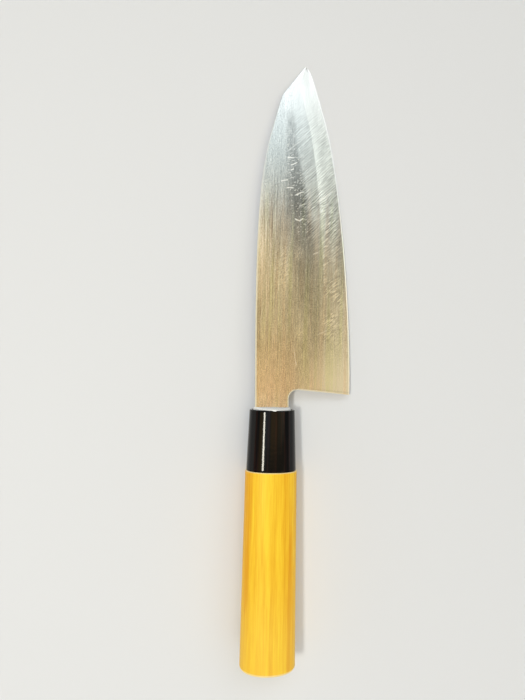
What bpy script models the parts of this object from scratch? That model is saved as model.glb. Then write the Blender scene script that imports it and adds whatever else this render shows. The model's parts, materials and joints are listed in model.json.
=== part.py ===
"""Kitchen knife with a hidden tang: blade, ferrule, wooden handle, seal and resin.

Every piece is modelled straight, in the knife's own axes. +X runs along the
handle to the tip, +Y to the spine, and +Z out of the right face of the blade,
with the origin at the middle of the ferrule's front. An empty that carries all
the pieces then lays the knife down on its left side, as it comes to rest.
"""
import math

import bmesh
import bpy
from mathutils import Matrix, Vector
from mathutils.geometry import interpolate_bezier

MM = 0.001

# Clearance between pieces that touch in the real knife
FIT = 0.3 * MM

# Blade outline
EDGE_LENGTH = 165.3 * MM
NECK_LENGTH = 7.7 * MM
NECK_WIDTH = 16.6 * MM
NECK_RISE = 0.3 * MM
HEEL_DEPTH = 38.9 * MM
TIP_DROP = 13.5 * MM
SPINE_SLOPE = math.radians(1.2)
SPINE_NECK_PULL = 110.0 * MM
SPINE_TIP_SLOPE = math.radians(-17.8)
SPINE_TIP_PULL = 34.0 * MM
CLIP_LENGTH = 15.4 * MM
CLIP_DROP = 11.3 * MM
BELLY_END = 26.3 * MM
BELLY_RISE = 14.9 * MM
BELLY_HEEL_PULL = 50.0 * MM
BELLY_SLOPE = math.radians(17.1)
BELLY_TIP_PULL = 27.3 * MM
POINT_PULL = 20.0 * MM
POINT_SLOPE = math.radians(86)
POINT_ROUND = 2.5 * MM

# Heel notch
HEEL_LEAN = math.radians(4.6)
NOTCH_RADIUS = 4.3 * MM
NOTCH_STEPS = 8

# Blade thickness
NECK_THICKNESS = 3.0 * MM
TIP_TAPER = 0.0045
EDGE_TAPER = 0.016
BEVEL_HEEL = 14.3 * MM
BEVEL_TIP = 8.3 * MM
TIP_LAND_SHARE = 0.3
BEVEL_CROWN = 0.22
BEVEL_ROWS = 3
BEVEL_BREAK = math.radians(1)
HONED_HEIGHT = 0.6 * MM
HONED_HALF = 0.11 * MM
HONED_SHARE = 0.3
RIM_CHAMFER = 0.28 * MM
RIM_FULL_HALF = 0.9 * MM
BODY_STATIONS = 64
POINT_STATIONS = 14

# Tang
TANG_LENGTH = 92.0 * MM
TANG_WIDTH = 11.0 * MM
TANG_END_WIDTH = 5.0 * MM
TANG_THICKNESS = 2.3 * MM
TANG_END_THICKNESS = 1.4 * MM
TANG_OVERLAP = 1.5 * MM

# Ferrule
FERRULE_LENGTH = 29.0 * MM
FERRULE_FRONT = (22.2 * MM, 16.9 * MM)
FERRULE_BACK = (24.3 * MM, 18.3 * MM)
FERRULE_WALL = 1.1 * MM
FERRULE_FRONT_ROUND = 0.35 * MM
FERRULE_BACK_ROUND = 0.15 * MM

# Wooden handle
WOOD_LENGTH = 94.2 * MM
WOOD_FRONT = (25.2 * MM, 19.2 * MM)
WOOD_BUTT = (26.9 * MM, 20.7 * MM)
WOOD_FRONT_ROUND = 0.4 * MM
WOOD_BUTT_ROUND = 1.3 * MM
TENON_ROOT = 4.0 * MM
OVAL_POWER = 2.15
OVAL_SIDES = 56

# Seal and resin
SEAL_DEPTH = 3.0 * MM
SEAL_PROUD = 1.2 * MM
SEAL_ROUND = 0.8 * MM
SLOT_WALL = 1.2 * MM
SLOT_END = 4.0 * MM

# Weight of each material, for the way the knife settles
STEEL_DENSITY = 7850.0
PLASTIC_DENSITY = 1100.0
WOOD_DENSITY = 600.0
SEAL_DENSITY = 1200.0

OVERCUT = 5.0 * MM
MERGE = 0.01 * MM

# Least area, in square millimetres, of a facet that the knife could stand on
LEAST_FOOTING = 20.0

# Places that follow from the sizes above
HEEL_X = NECK_LENGTH
TIP_X = HEEL_X + EDGE_LENGTH
SHOULDER_X = -SEAL_DEPTH
TANG_END_X = SHOULDER_X - TANG_LENGTH
TENON_FRONT_X = SHOULDER_X - FIT
WOOD_FRONT_X = -FERRULE_LENGTH - FIT
BUTT_X = WOOD_FRONT_X - WOOD_LENGTH
SPINE_Y = NECK_RISE + NECK_WIDTH / 2
NECK_LOW_Y = NECK_RISE - NECK_WIDTH / 2


def clear_scene():
    """Removes whatever the file opened with."""
    for old in list(bpy.data.objects):
        bpy.data.objects.remove(old, do_unlink=True)


def new_collection(name):
    """Makes a collection in the scene."""
    group = bpy.data.collections.new(name)
    bpy.context.scene.collection.children.link(group)
    return group


def new_material(name, colour, roughness, metallic=0.0):
    """Makes a plain Principled material."""
    finish = bpy.data.materials.new(name)
    finish.use_nodes = True
    shader = finish.node_tree.nodes["Principled BSDF"]
    shader.inputs["Base Color"].default_value = (*colour, 1.0)
    shader.inputs["Roughness"].default_value = roughness
    shader.inputs["Metallic"].default_value = metallic
    return finish


def new_object(name, mesh, group, finish=None):
    """Puts a mesh in the scene as a smooth-shaded object with sharp corners kept."""
    item = bpy.data.objects.new(name, mesh)
    group.objects.link(item)
    mesh.shade_smooth()
    mesh.set_sharp_from_angle(angle=math.radians(30))
    if finish:
        mesh.materials.append(finish)
    return item


def new_cutter(name, mesh, group):
    """Puts a mesh in the scene as a hidden cutting shape."""
    item = new_object(name, mesh, group)
    item.hide_render = True
    item.display_type = "WIRE"
    return item


def boolean(item, other, operation):
    """Adds an exact Boolean of one object with another."""
    cut = item.modifiers.new(f"{operation.lower()} {other.name}", "BOOLEAN")
    cut.operation = operation
    cut.solver = "EXACT"
    cut.object = other


def applied_mesh(item):
    """Gives a copy of an object's mesh with its modifiers applied."""
    graph = bpy.context.evaluated_depsgraph_get()
    return bpy.data.meshes.new_from_object(item.evaluated_get(graph))


def round_rim(mesh_data, x, radius, segments):
    """Rounds the rim of an end face that stands square to X."""
    rim = [edge for edge in mesh_data.edges if all(abs(v.co.x - x) < MERGE for v in edge.verts)]
    bmesh.ops.bevel(mesh_data, geom=rim, offset=radius, segments=segments, profile=0.5, affect="EDGES")


def finish_mesh(mesh_data, name):
    """Turns bmesh data into a mesh with its faces pointing out."""
    mesh_data.normal_update()
    bmesh.ops.recalc_face_normals(mesh_data, faces=mesh_data.faces)
    mesh = bpy.data.meshes.new(name)
    mesh_data.to_mesh(mesh)
    mesh_data.free()
    return mesh


def oval_bar(name, x_back, x_front, back, front, back_round=0.0, front_round=0.0):
    """Makes a tapered bar of oval section along X, with rounded end rims.

    back and front are the (width, thickness) of the two end faces.
    """
    bar = bmesh.new()
    bmesh.ops.create_cone(bar, cap_ends=True, segments=OVAL_SIDES, radius1=1, radius2=1, depth=2)
    for vert in bar.verts:
        angle = math.atan2(vert.co.y, vert.co.x)
        at_front = vert.co.z > 0
        width, thickness = front if at_front else back
        across = math.copysign(abs(math.cos(angle)) ** (2 / OVAL_POWER), math.cos(angle))
        through = math.copysign(abs(math.sin(angle)) ** (2 / OVAL_POWER), math.sin(angle))
        vert.co = (x_front if at_front else x_back, across * width / 2, through * thickness / 2)
    bar.normal_update()
    if front_round:
        round_rim(bar, x_front, front_round, 3)
    if back_round:
        round_rim(bar, x_back, back_round, 3)
    return finish_mesh(bar, name)


def flat_bar(name, x_back, x_front, back, front, middle_y=0.0):
    """Makes a tapered bar of rectangular section along X."""
    bar = bmesh.new()
    bmesh.ops.create_cube(bar, size=2)
    for vert in bar.verts:
        at_front = vert.co.x > 0
        width, thickness = front if at_front else back
        x = x_front if at_front else x_back
        vert.co = (x, middle_y + vert.co.y * width / 2, vert.co.z * thickness / 2)
    return finish_mesh(bar, name)


def taper_at(x, x_back, x_front, back, front):
    """Gives the (width, thickness) of a tapered bar at x."""
    share = (x - x_back) / (x_front - x_back)
    return tuple(b + (f - b) * share for b, f in zip(back, front))


def shrink(size, wall):
    """Takes a wall off both sides of a (width, thickness)."""
    return tuple(side - 2 * wall for side in size)


def polar(length, angle):
    """Gives a flat vector from its length and angle."""
    return Vector((math.cos(angle) * length, math.sin(angle) * length, 0))


def curve_height(points, x):
    """Gives a rail's y at x, between the points that it runs through."""
    for left, right in zip(points, points[1:]):
        if x <= right.x:
            share = (x - left.x) / (right.x - left.x)
            return left.y + (right.y - left.y) * max(share, 0)
    return points[-1].y


def spine_rail():
    """Runs along the spine: one long crowned curve, then the straight clip to the tip."""
    start = Vector((0, SPINE_Y, 0))
    tip = Vector((TIP_X, -TIP_DROP, 0))
    clip = tip + Vector((-CLIP_LENGTH, CLIP_DROP, 0))
    back = start - polar(OVERCUT, SPINE_SLOPE)
    curve = interpolate_bezier(
        start, start + polar(SPINE_NECK_PULL, SPINE_SLOPE), clip - polar(SPINE_TIP_PULL, SPINE_TIP_SLOPE), clip, 60
    )
    return [back, *curve, tip]


def edge_rail():
    """Runs along the cutting edge: nearly straight from the heel, a belly, and a rounded point."""
    heel = Vector((HEEL_X, -HEEL_DEPTH, 0))
    tip = Vector((TIP_X, -TIP_DROP, 0))
    join = Vector((TIP_X - BELLY_END, BELLY_RISE - HEEL_DEPTH, 0))
    belly = interpolate_bezier(
        heel, heel + polar(BELLY_HEEL_PULL, 0), join - polar(BELLY_TIP_PULL, BELLY_SLOPE), join, 60
    )
    point = interpolate_bezier(
        join, join + polar(POINT_PULL, BELLY_SLOPE), tip - polar(POINT_ROUND, POINT_SLOPE), tip, 40
    )
    return [heel - Vector((HEEL_X + OVERCUT, 0, 0)), *belly, *point[1:]]


def half_thickness(x, y):
    """Gives half the thickness where the flat-ground face stands at (x, y)."""
    return NECK_THICKNESS / 2 - TIP_TAPER * x - EDGE_TAPER * (SPINE_Y - y)


def blade_section(x, spine_y, edge_y):
    """Gives the right half of the blade's section at x, from the spine down to the edge."""
    height = spine_y - edge_y
    along = (x - HEEL_X) / EDGE_LENGTH
    bevel = min(BEVEL_HEEL + (BEVEL_TIP - BEVEL_HEEL) * along, height * (1 - TIP_LAND_SHARE))
    honed = min(HONED_HEIGHT, bevel * HONED_SHARE)
    bevel_y = edge_y + bevel
    bevel_half = half_thickness(x, bevel_y)
    honed_half = HONED_HALF * honed / HONED_HEIGHT
    bevel_face = []
    for row in range(1, BEVEL_ROWS):
        share = row / BEVEL_ROWS
        crown = BEVEL_CROWN * share * (1 - share)
        half = bevel_half + (honed_half - bevel_half) * (share - crown)
        bevel_face.append((x, bevel_y + (honed - bevel) * share, half))
    return [
        (x, spine_y, 0),
        (x, spine_y, half_thickness(x, spine_y)),
        (x, bevel_y, bevel_half),
        *bevel_face,
        (x, edge_y + honed, honed_half),
        (x, edge_y, 0),
    ]


def blade_stations():
    """Spaces the blade's sections evenly to the clip, then closer and closer to the tip."""
    clip_x = TIP_X - CLIP_LENGTH
    body = [SHOULDER_X + (clip_x - SHOULDER_X) * i / BODY_STATIONS for i in range(BODY_STATIONS + 1)]
    point = [TIP_X - CLIP_LENGTH * (1 - i / POINT_STATIONS) ** 1.6 for i in range(1, POINT_STATIONS)]
    return body + point


def ground_blade(group):
    """Lofts the ground blade through its sections, one half of it, and mirrors it in the flat."""
    spine, edge = spine_rail(), edge_rail()
    half = bmesh.new()
    rows = []
    for x in blade_stations():
        section = blade_section(x, curve_height(spine, x), curve_height(edge, x))
        rows.append([half.verts.new(point) for point in section])
    for near, far in zip(rows, rows[1:]):
        for i in range(len(near) - 1):
            half.faces.new((near[i], near[i + 1], far[i + 1], far[i]))
    half.faces.new(list(reversed(rows[0])))
    tip = half.verts.new((TIP_X, -TIP_DROP, 0))
    for upper, lower in zip(rows[-1], rows[-1][1:]):
        half.faces.new((upper, lower, tip))
    item = new_object("ground blade", finish_mesh(half, "ground blade"), group)
    mirror = item.modifiers.new("both faces", "MIRROR")
    mirror.use_axis = (False, False, True)
    mirror.merge_threshold = 0.00001
    return item


def notch_cutter(group):
    """Makes the block that frees the neck: a leaning heel line, a fillet and the neck's lower side."""
    low_y = -HEEL_DEPTH - OVERCUT
    heel_low = Vector((HEEL_X - OVERCUT * math.tan(HEEL_LEAN), low_y))
    top_x = HEEL_X + (HEEL_DEPTH + NECK_LOW_Y) * math.tan(HEEL_LEAN)
    centre = Vector((
        top_x - NOTCH_RADIUS * (1 + math.sin(HEEL_LEAN)) / math.cos(HEEL_LEAN),
        NECK_LOW_Y - NOTCH_RADIUS,
    ))
    start, turn = -HEEL_LEAN, math.pi / 2 + HEEL_LEAN
    fillet = [centre + polar(NOTCH_RADIUS, start + turn * i / NOTCH_STEPS).xy for i in range(NOTCH_STEPS + 1)]
    back_x = SHOULDER_X - OVERCUT
    outline = [heel_low, *fillet, Vector((back_x, NECK_LOW_Y)), Vector((back_x, low_y))]
    curve = bpy.data.curves.new("notch outline", "CURVE")
    curve.dimensions = "2D"
    curve.fill_mode = "BOTH"
    curve.extrude = OVERCUT
    spline = curve.splines.new("POLY")
    spline.points.add(len(outline) - 1)
    for point, place in zip(spline.points, outline):
        point.co = (*place, 0, 1)
    spline.use_cyclic_u = True
    flat = bpy.data.objects.new("notch outline", curve)
    group.objects.link(flat)
    block = bmesh.new()
    block.from_mesh(applied_mesh(flat))
    bmesh.ops.remove_doubles(block, verts=block.verts, dist=MERGE)
    bpy.data.objects.remove(flat, do_unlink=True)
    return new_cutter("heel notch cutter", finish_mesh(block, "heel notch"), group)


def weigh_rims(mesh):
    """Marks the square rims of the spine, the neck and the heel for chamfering.

    The chamfer narrows where the blade thins, and so runs out at the tip and the heel.
    """
    weights = mesh.attributes.new("bevel_weight_edge", "FLOAT", "EDGE")
    sides = {}
    for face in mesh.polygons:
        for key in face.edge_keys:
            sides.setdefault(key, []).append(abs(face.normal.z))
    for edge in mesh.edges:
        flatness = sorted(sides[edge.key])
        ends = [mesh.vertices[i].co for i in edge.vertices]
        square = flatness[0] < 0.2 and flatness[-1] > 0.9
        outside = all(end.x > SHOULDER_X - MERGE for end in ends)
        if square and outside and ends[0].z * ends[1].z > 0:
            half = min(abs(end.z) for end in ends)
            weights.data[edge.index].value = min(1.0, half / RIM_FULL_HALF)


def mark_bevel_lines(mesh):
    """Keeps the shallow lines where the ground face meets the bevel, and the bevel the edge."""
    normals = {}
    for face in mesh.polygons:
        for key in face.edge_keys:
            normals.setdefault(key, []).append(face.normal)
    for edge in mesh.edges:
        first, second = normals[edge.key]
        if min(abs(first.z), abs(second.z)) > 0.9 and first.angle(second) > BEVEL_BREAK:
            edge.use_edge_sharp = True


def make_blade(group, cutters, finish):
    """Makes the blade with its neck and hidden tang, forged and ground in one."""
    stock = ground_blade(cutters)
    tang = flat_bar(
        "tang", TANG_END_X, SHOULDER_X + TANG_OVERLAP,
        (TANG_END_WIDTH, TANG_END_THICKNESS), (TANG_WIDTH, TANG_THICKNESS),
    )
    tang_bar = new_cutter("tang bar", tang, cutters)
    boolean(stock, notch_cutter(cutters), "DIFFERENCE")
    boolean(stock, tang_bar, "UNION")
    mesh = applied_mesh(stock)
    mesh.name = "blade"
    bpy.data.objects.remove(stock, do_unlink=True)
    weigh_rims(mesh)
    blade = new_object("blade", mesh, group, finish)
    mark_bevel_lines(mesh)
    chamfer = blade.modifiers.new("rim chamfer", "BEVEL")
    chamfer.limit_method = "WEIGHT"
    chamfer.width = RIM_CHAMFER
    chamfer.segments = 1
    chamfer.harden_normals = True
    return blade


def make_ferrule(group, cutters, finish):
    """Makes the glossy oval sleeve, open at both ends, with the handle's taper."""
    outside = oval_bar(
        "ferrule", -FERRULE_LENGTH, 0, FERRULE_BACK, FERRULE_FRONT, FERRULE_BACK_ROUND, FERRULE_FRONT_ROUND
    )
    ferrule = new_object("ferrule", outside, group, finish)
    back_x, front_x = -FERRULE_LENGTH - OVERCUT, OVERCUT
    bore = oval_bar(
        "ferrule bore", back_x, front_x,
        shrink(taper_at(back_x, -FERRULE_LENGTH, 0, FERRULE_BACK, FERRULE_FRONT), FERRULE_WALL),
        shrink(taper_at(front_x, -FERRULE_LENGTH, 0, FERRULE_BACK, FERRULE_FRONT), FERRULE_WALL),
    )
    boolean(ferrule, new_cutter("ferrule bore cutter", bore, cutters), "DIFFERENCE")
    return ferrule


def bore_size(x):
    """Gives the ferrule's bore at x."""
    return shrink(taper_at(x, -FERRULE_LENGTH, 0, FERRULE_BACK, FERRULE_FRONT), FERRULE_WALL)


def slot_size(tang_size):
    """Gives the slot that takes a tang of this size with its film of resin."""
    return tuple(side + 2 * (FIT + SLOT_WALL + FIT) for side in tang_size)


def make_handle(group, cutters, finish):
    """Makes the wooden handle: an oval body, a tenon for the ferrule and a blind slot."""
    body = oval_bar(
        "handle", BUTT_X, WOOD_FRONT_X, WOOD_BUTT, WOOD_FRONT, WOOD_BUTT_ROUND, WOOD_FRONT_ROUND
    )
    handle = new_object("handle", body, group, finish)
    root_x = WOOD_FRONT_X - TENON_ROOT
    tenon = oval_bar(
        "tenon", root_x, TENON_FRONT_X, shrink(bore_size(root_x), FIT), shrink(bore_size(TENON_FRONT_X), FIT)
    )
    slot_end_x = TANG_END_X - SLOT_END
    slot = flat_bar(
        "tang slot", slot_end_x, TENON_FRONT_X + OVERCUT,
        slot_size((TANG_END_WIDTH, TANG_END_THICKNESS)), slot_size((TANG_WIDTH, TANG_THICKNESS)),
    )
    boolean(handle, new_cutter("tenon", tenon, cutters), "UNION")
    boolean(handle, new_cutter("tang slot cutter", slot, cutters), "DIFFERENCE")
    return handle


def make_seal(group, cutters, finish):
    """Makes the bead that closes the ferrule's mouth round the neck."""
    plug = oval_bar(
        "tang_seal", SHOULDER_X, SEAL_PROUD, shrink(bore_size(SHOULDER_X), FIT), shrink(bore_size(0), FIT),
        0, SEAL_ROUND,
    )
    seal = new_object("tang_seal", plug, group, finish)
    opening = (NECK_WIDTH + 2 * FIT, NECK_THICKNESS + 2 * FIT)
    hole = flat_bar("neck hole", SHOULDER_X - OVERCUT, SEAL_PROUD + OVERCUT, opening, opening, NECK_RISE)
    boolean(seal, new_cutter("neck hole cutter", hole, cutters), "DIFFERENCE")
    return seal


def make_resin(group, cutters, finish):
    """Makes the cured resin that fills the slot round the tang."""
    back_x = TANG_END_X - SLOT_END + FIT
    sleeve = flat_bar(
        "tang_resin", back_x, TENON_FRONT_X,
        shrink(slot_size((TANG_END_WIDTH, TANG_END_THICKNESS)), FIT),
        shrink(slot_size((TANG_WIDTH, TANG_THICKNESS)), FIT),
    )
    resin = new_object("tang_resin", sleeve, group, finish)
    pocket = flat_bar(
        "tang pocket", TANG_END_X - FIT, TENON_FRONT_X + OVERCUT,
        (TANG_END_WIDTH + 2 * FIT, TANG_END_THICKNESS + 2 * FIT),
        (TANG_WIDTH + 2 * FIT, TANG_THICKNESS + 2 * FIT),
    )
    boolean(resin, new_cutter("tang pocket cutter", pocket, cutters), "DIFFERENCE")
    return resin


def mass_and_moment(mesh, density):
    """Gives a solid's mass and its mass times its centre."""
    mass, moment = 0.0, Vector()
    mesh.calc_loop_triangles()
    for triangle in mesh.loop_triangles:
        a, b, c = (mesh.vertices[i].co for i in triangle.vertices)
        piece = density * a.dot(b.cross(c)) / 6
        mass += piece
        moment += piece * (a + b + c) / 4
    return mass, moment


def rest_turn(weights, meshes):
    """Turns the knife onto the flat that it settles on.

    A body at rest stands on the face of its convex hull that lies nearest under
    its centre of mass. Only faces on the knife's left side are looked at, so the
    right face of the blade stays up, and the tip keeps its heading along +X.
    """
    total, moment = 0.0, Vector()
    hull = bmesh.new()
    for mesh, density in zip(meshes, weights):
        mass, share = mass_and_moment(mesh, density)
        total += mass
        moment += share
        for vert in mesh.vertices:
            hull.verts.new(vert.co / MM)
    centre = moment / total / MM
    skin = bmesh.ops.convex_hull(hull, input=hull.verts)["geom"]
    facets = [part for part in skin if isinstance(part, bmesh.types.BMFace)]
    best_down, least = None, math.inf
    for face in facets:
        if face.calc_area() < LEAST_FOOTING:
            continue
        a, b, c = (vert.co for vert in face.verts[:3])
        normal = (b - a).cross(c - a).normalized()
        depth = normal.dot(a - centre)
        if depth < 0:
            normal, depth = -normal, -depth
        if normal.z < -0.5 and depth < least:
            best_down, least = normal, depth
    hull.free()
    up = -best_down
    ahead = (Vector((1, 0, 0)) - up * up.x).normalized()
    return Matrix((ahead, up.cross(ahead), up)).to_4x4()


def lay_down(pieces, densities, group, cutters):
    """Parents everything to one empty, turns it to rest, and stands it on the ground."""
    meshes = [applied_mesh(piece) for piece in pieces]
    turn = rest_turn(densities, meshes)
    corners = [turn @ vert.co for mesh in meshes for vert in mesh.vertices]
    low = Vector([min(corner[i] for corner in corners) for i in range(3)])
    high = Vector([max(corner[i] for corner in corners) for i in range(3)])
    stand = bpy.data.objects.new("knife at rest", None)
    group.objects.link(stand)
    stand.rotation_euler = turn.to_euler()
    stand.location = (-(low.x + high.x) / 2, -(low.y + high.y) / 2, -low.z)
    for item in [*pieces, *cutters.objects]:
        item.parent = stand
    for mesh in meshes:
        bpy.data.meshes.remove(mesh)


def main():
    """Builds the knife."""
    clear_scene()
    group = new_collection("santoku knife")
    cutters = new_collection("cutters")
    steel = new_material("steel", (0.62, 0.60, 0.57), 0.28, 1.0)
    black = new_material("black gloss", (0.012, 0.011, 0.010), 0.12)
    wood = new_material("pale wood", (0.86, 0.55, 0.13), 0.5)
    white = new_material("white seal", (0.85, 0.86, 0.84), 0.4)
    amber = new_material("resin", (0.60, 0.45, 0.22), 0.35)
    pieces = [
        make_blade(group, cutters, steel),
        make_ferrule(group, cutters, black),
        make_handle(group, cutters, wood),
        make_seal(group, cutters, white),
        make_resin(group, cutters, amber),
    ]
    densities = (STEEL_DENSITY, PLASTIC_DENSITY, WOOD_DENSITY, SEAL_DENSITY, PLASTIC_DENSITY)
    bpy.context.view_layer.update()
    lay_down(pieces, densities, group, cutters)


main()
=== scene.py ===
"""Looks of a kitchen knife with a hidden tang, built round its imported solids.

Every piece is modelled straight, in the knife's own axes and in millimetres: +X runs
along the handle to the tip, +Y to the spine, +Z out of the right face of the blade, and
the origin is the middle of the ferrule's front. Each object then takes the pose in
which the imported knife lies, which is worked out from the record's mounts.
"""
import json
import logging
import math
from abc import ABC, abstractmethod
from dataclasses import dataclass, field
from enum import Enum, IntEnum
from functools import partial
from typing import Any, Callable, ClassVar, Optional, Sequence, Union

import bmesh
import bpy
import numpy as np
from mathutils import Matrix, Vector, noise
from mathutils.geometry import interpolate_bezier


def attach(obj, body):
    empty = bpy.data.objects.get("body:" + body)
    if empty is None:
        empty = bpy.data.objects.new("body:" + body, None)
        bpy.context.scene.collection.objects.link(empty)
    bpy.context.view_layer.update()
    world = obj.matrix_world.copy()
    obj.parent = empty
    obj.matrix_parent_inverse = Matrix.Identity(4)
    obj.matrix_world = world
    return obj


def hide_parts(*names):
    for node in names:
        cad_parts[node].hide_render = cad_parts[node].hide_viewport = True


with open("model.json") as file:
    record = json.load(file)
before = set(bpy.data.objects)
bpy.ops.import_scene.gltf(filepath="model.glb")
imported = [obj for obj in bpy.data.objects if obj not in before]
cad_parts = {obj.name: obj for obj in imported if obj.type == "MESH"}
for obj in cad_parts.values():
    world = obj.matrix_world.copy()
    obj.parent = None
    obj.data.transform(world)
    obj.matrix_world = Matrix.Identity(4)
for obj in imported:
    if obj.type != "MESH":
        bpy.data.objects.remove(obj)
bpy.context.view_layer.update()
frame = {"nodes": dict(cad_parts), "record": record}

LOG = logging.getLogger("knife")
BODY = "root"
MM = 0.001
ROUND_OFF = 1e-6

Colour = tuple[float, float, float]
Point = tuple[float, float, float]
Operand = Union["Signal", float, Sequence[float]]

WHITE: Colour = (1.0, 1.0, 1.0)
MIDDLE = 0.5


class Slot(Enum):
    """The record's material slots."""

    STEEL = "blade_steel"
    BLACK = "black_gloss"
    WOOD = "pale_wood"
    SEAL = "white_seal"
    RESIN = "resin"


class Signal:
    """One output socket of a shader graph, with arithmetic on what it carries."""

    def __init__(self, graph: "ShaderGraph", socket: Optional[bpy.types.NodeSocket]) -> None:
        """Keeps the graph and the socket, which an output node doesn't have."""
        self.graph = graph
        self.socket = socket

    def _combine(self, operation: str, first: Operand, second: Operand) -> "Signal":
        """Adds a Math node, or a Vector Math node where a vector takes part.

        Args:
            operation: the node's operation.
            first: the first operand.
            second: the second operand.

        Returns:
            The result.
        """
        signals = [item for item in (first, second) if isinstance(item, Signal)]
        vectors = any(item.socket.type == "VECTOR" for item in signals)
        kind = "ShaderNodeVectorMath" if vectors else "ShaderNodeMath"
        return self.graph.node(kind, {"operation": operation}, {0: first, 1: second})

    def __add__(self, other: Operand) -> "Signal":
        """Adds."""
        return self._combine("ADD", self, other)

    __radd__ = __add__

    def __sub__(self, other: Operand) -> "Signal":
        """Subtracts another operand from this one."""
        return self._combine("SUBTRACT", self, other)

    def __rsub__(self, other: Operand) -> "Signal":
        """Subtracts this signal from a number."""
        return self._combine("SUBTRACT", other, self)

    def __mul__(self, other: Operand) -> "Signal":
        """Multiplies."""
        return self._combine("MULTIPLY", self, other)

    __rmul__ = __mul__

    def __truediv__(self, other: Operand) -> "Signal":
        """Divides this signal by an operand."""
        return self._combine("DIVIDE", self, other)

    def __pow__(self, other: Operand) -> "Signal":
        """Raises to a power."""
        return self._combine("POWER", self, other)

    def __abs__(self) -> "Signal":
        """Drops the sign."""
        return self.graph.maths("ABSOLUTE", self)

    def other(self, name: str) -> "Signal":
        """Gives another output of the node that this one comes from."""
        return Signal(self.graph, self.socket.node.outputs[name])

    def least(self, other: Operand) -> "Signal":
        """Takes the smaller of two."""
        return self._combine("MINIMUM", self, other)

    def most(self, other: Operand) -> "Signal":
        """Takes the larger of two."""
        return self._combine("MAXIMUM", self, other)


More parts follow.
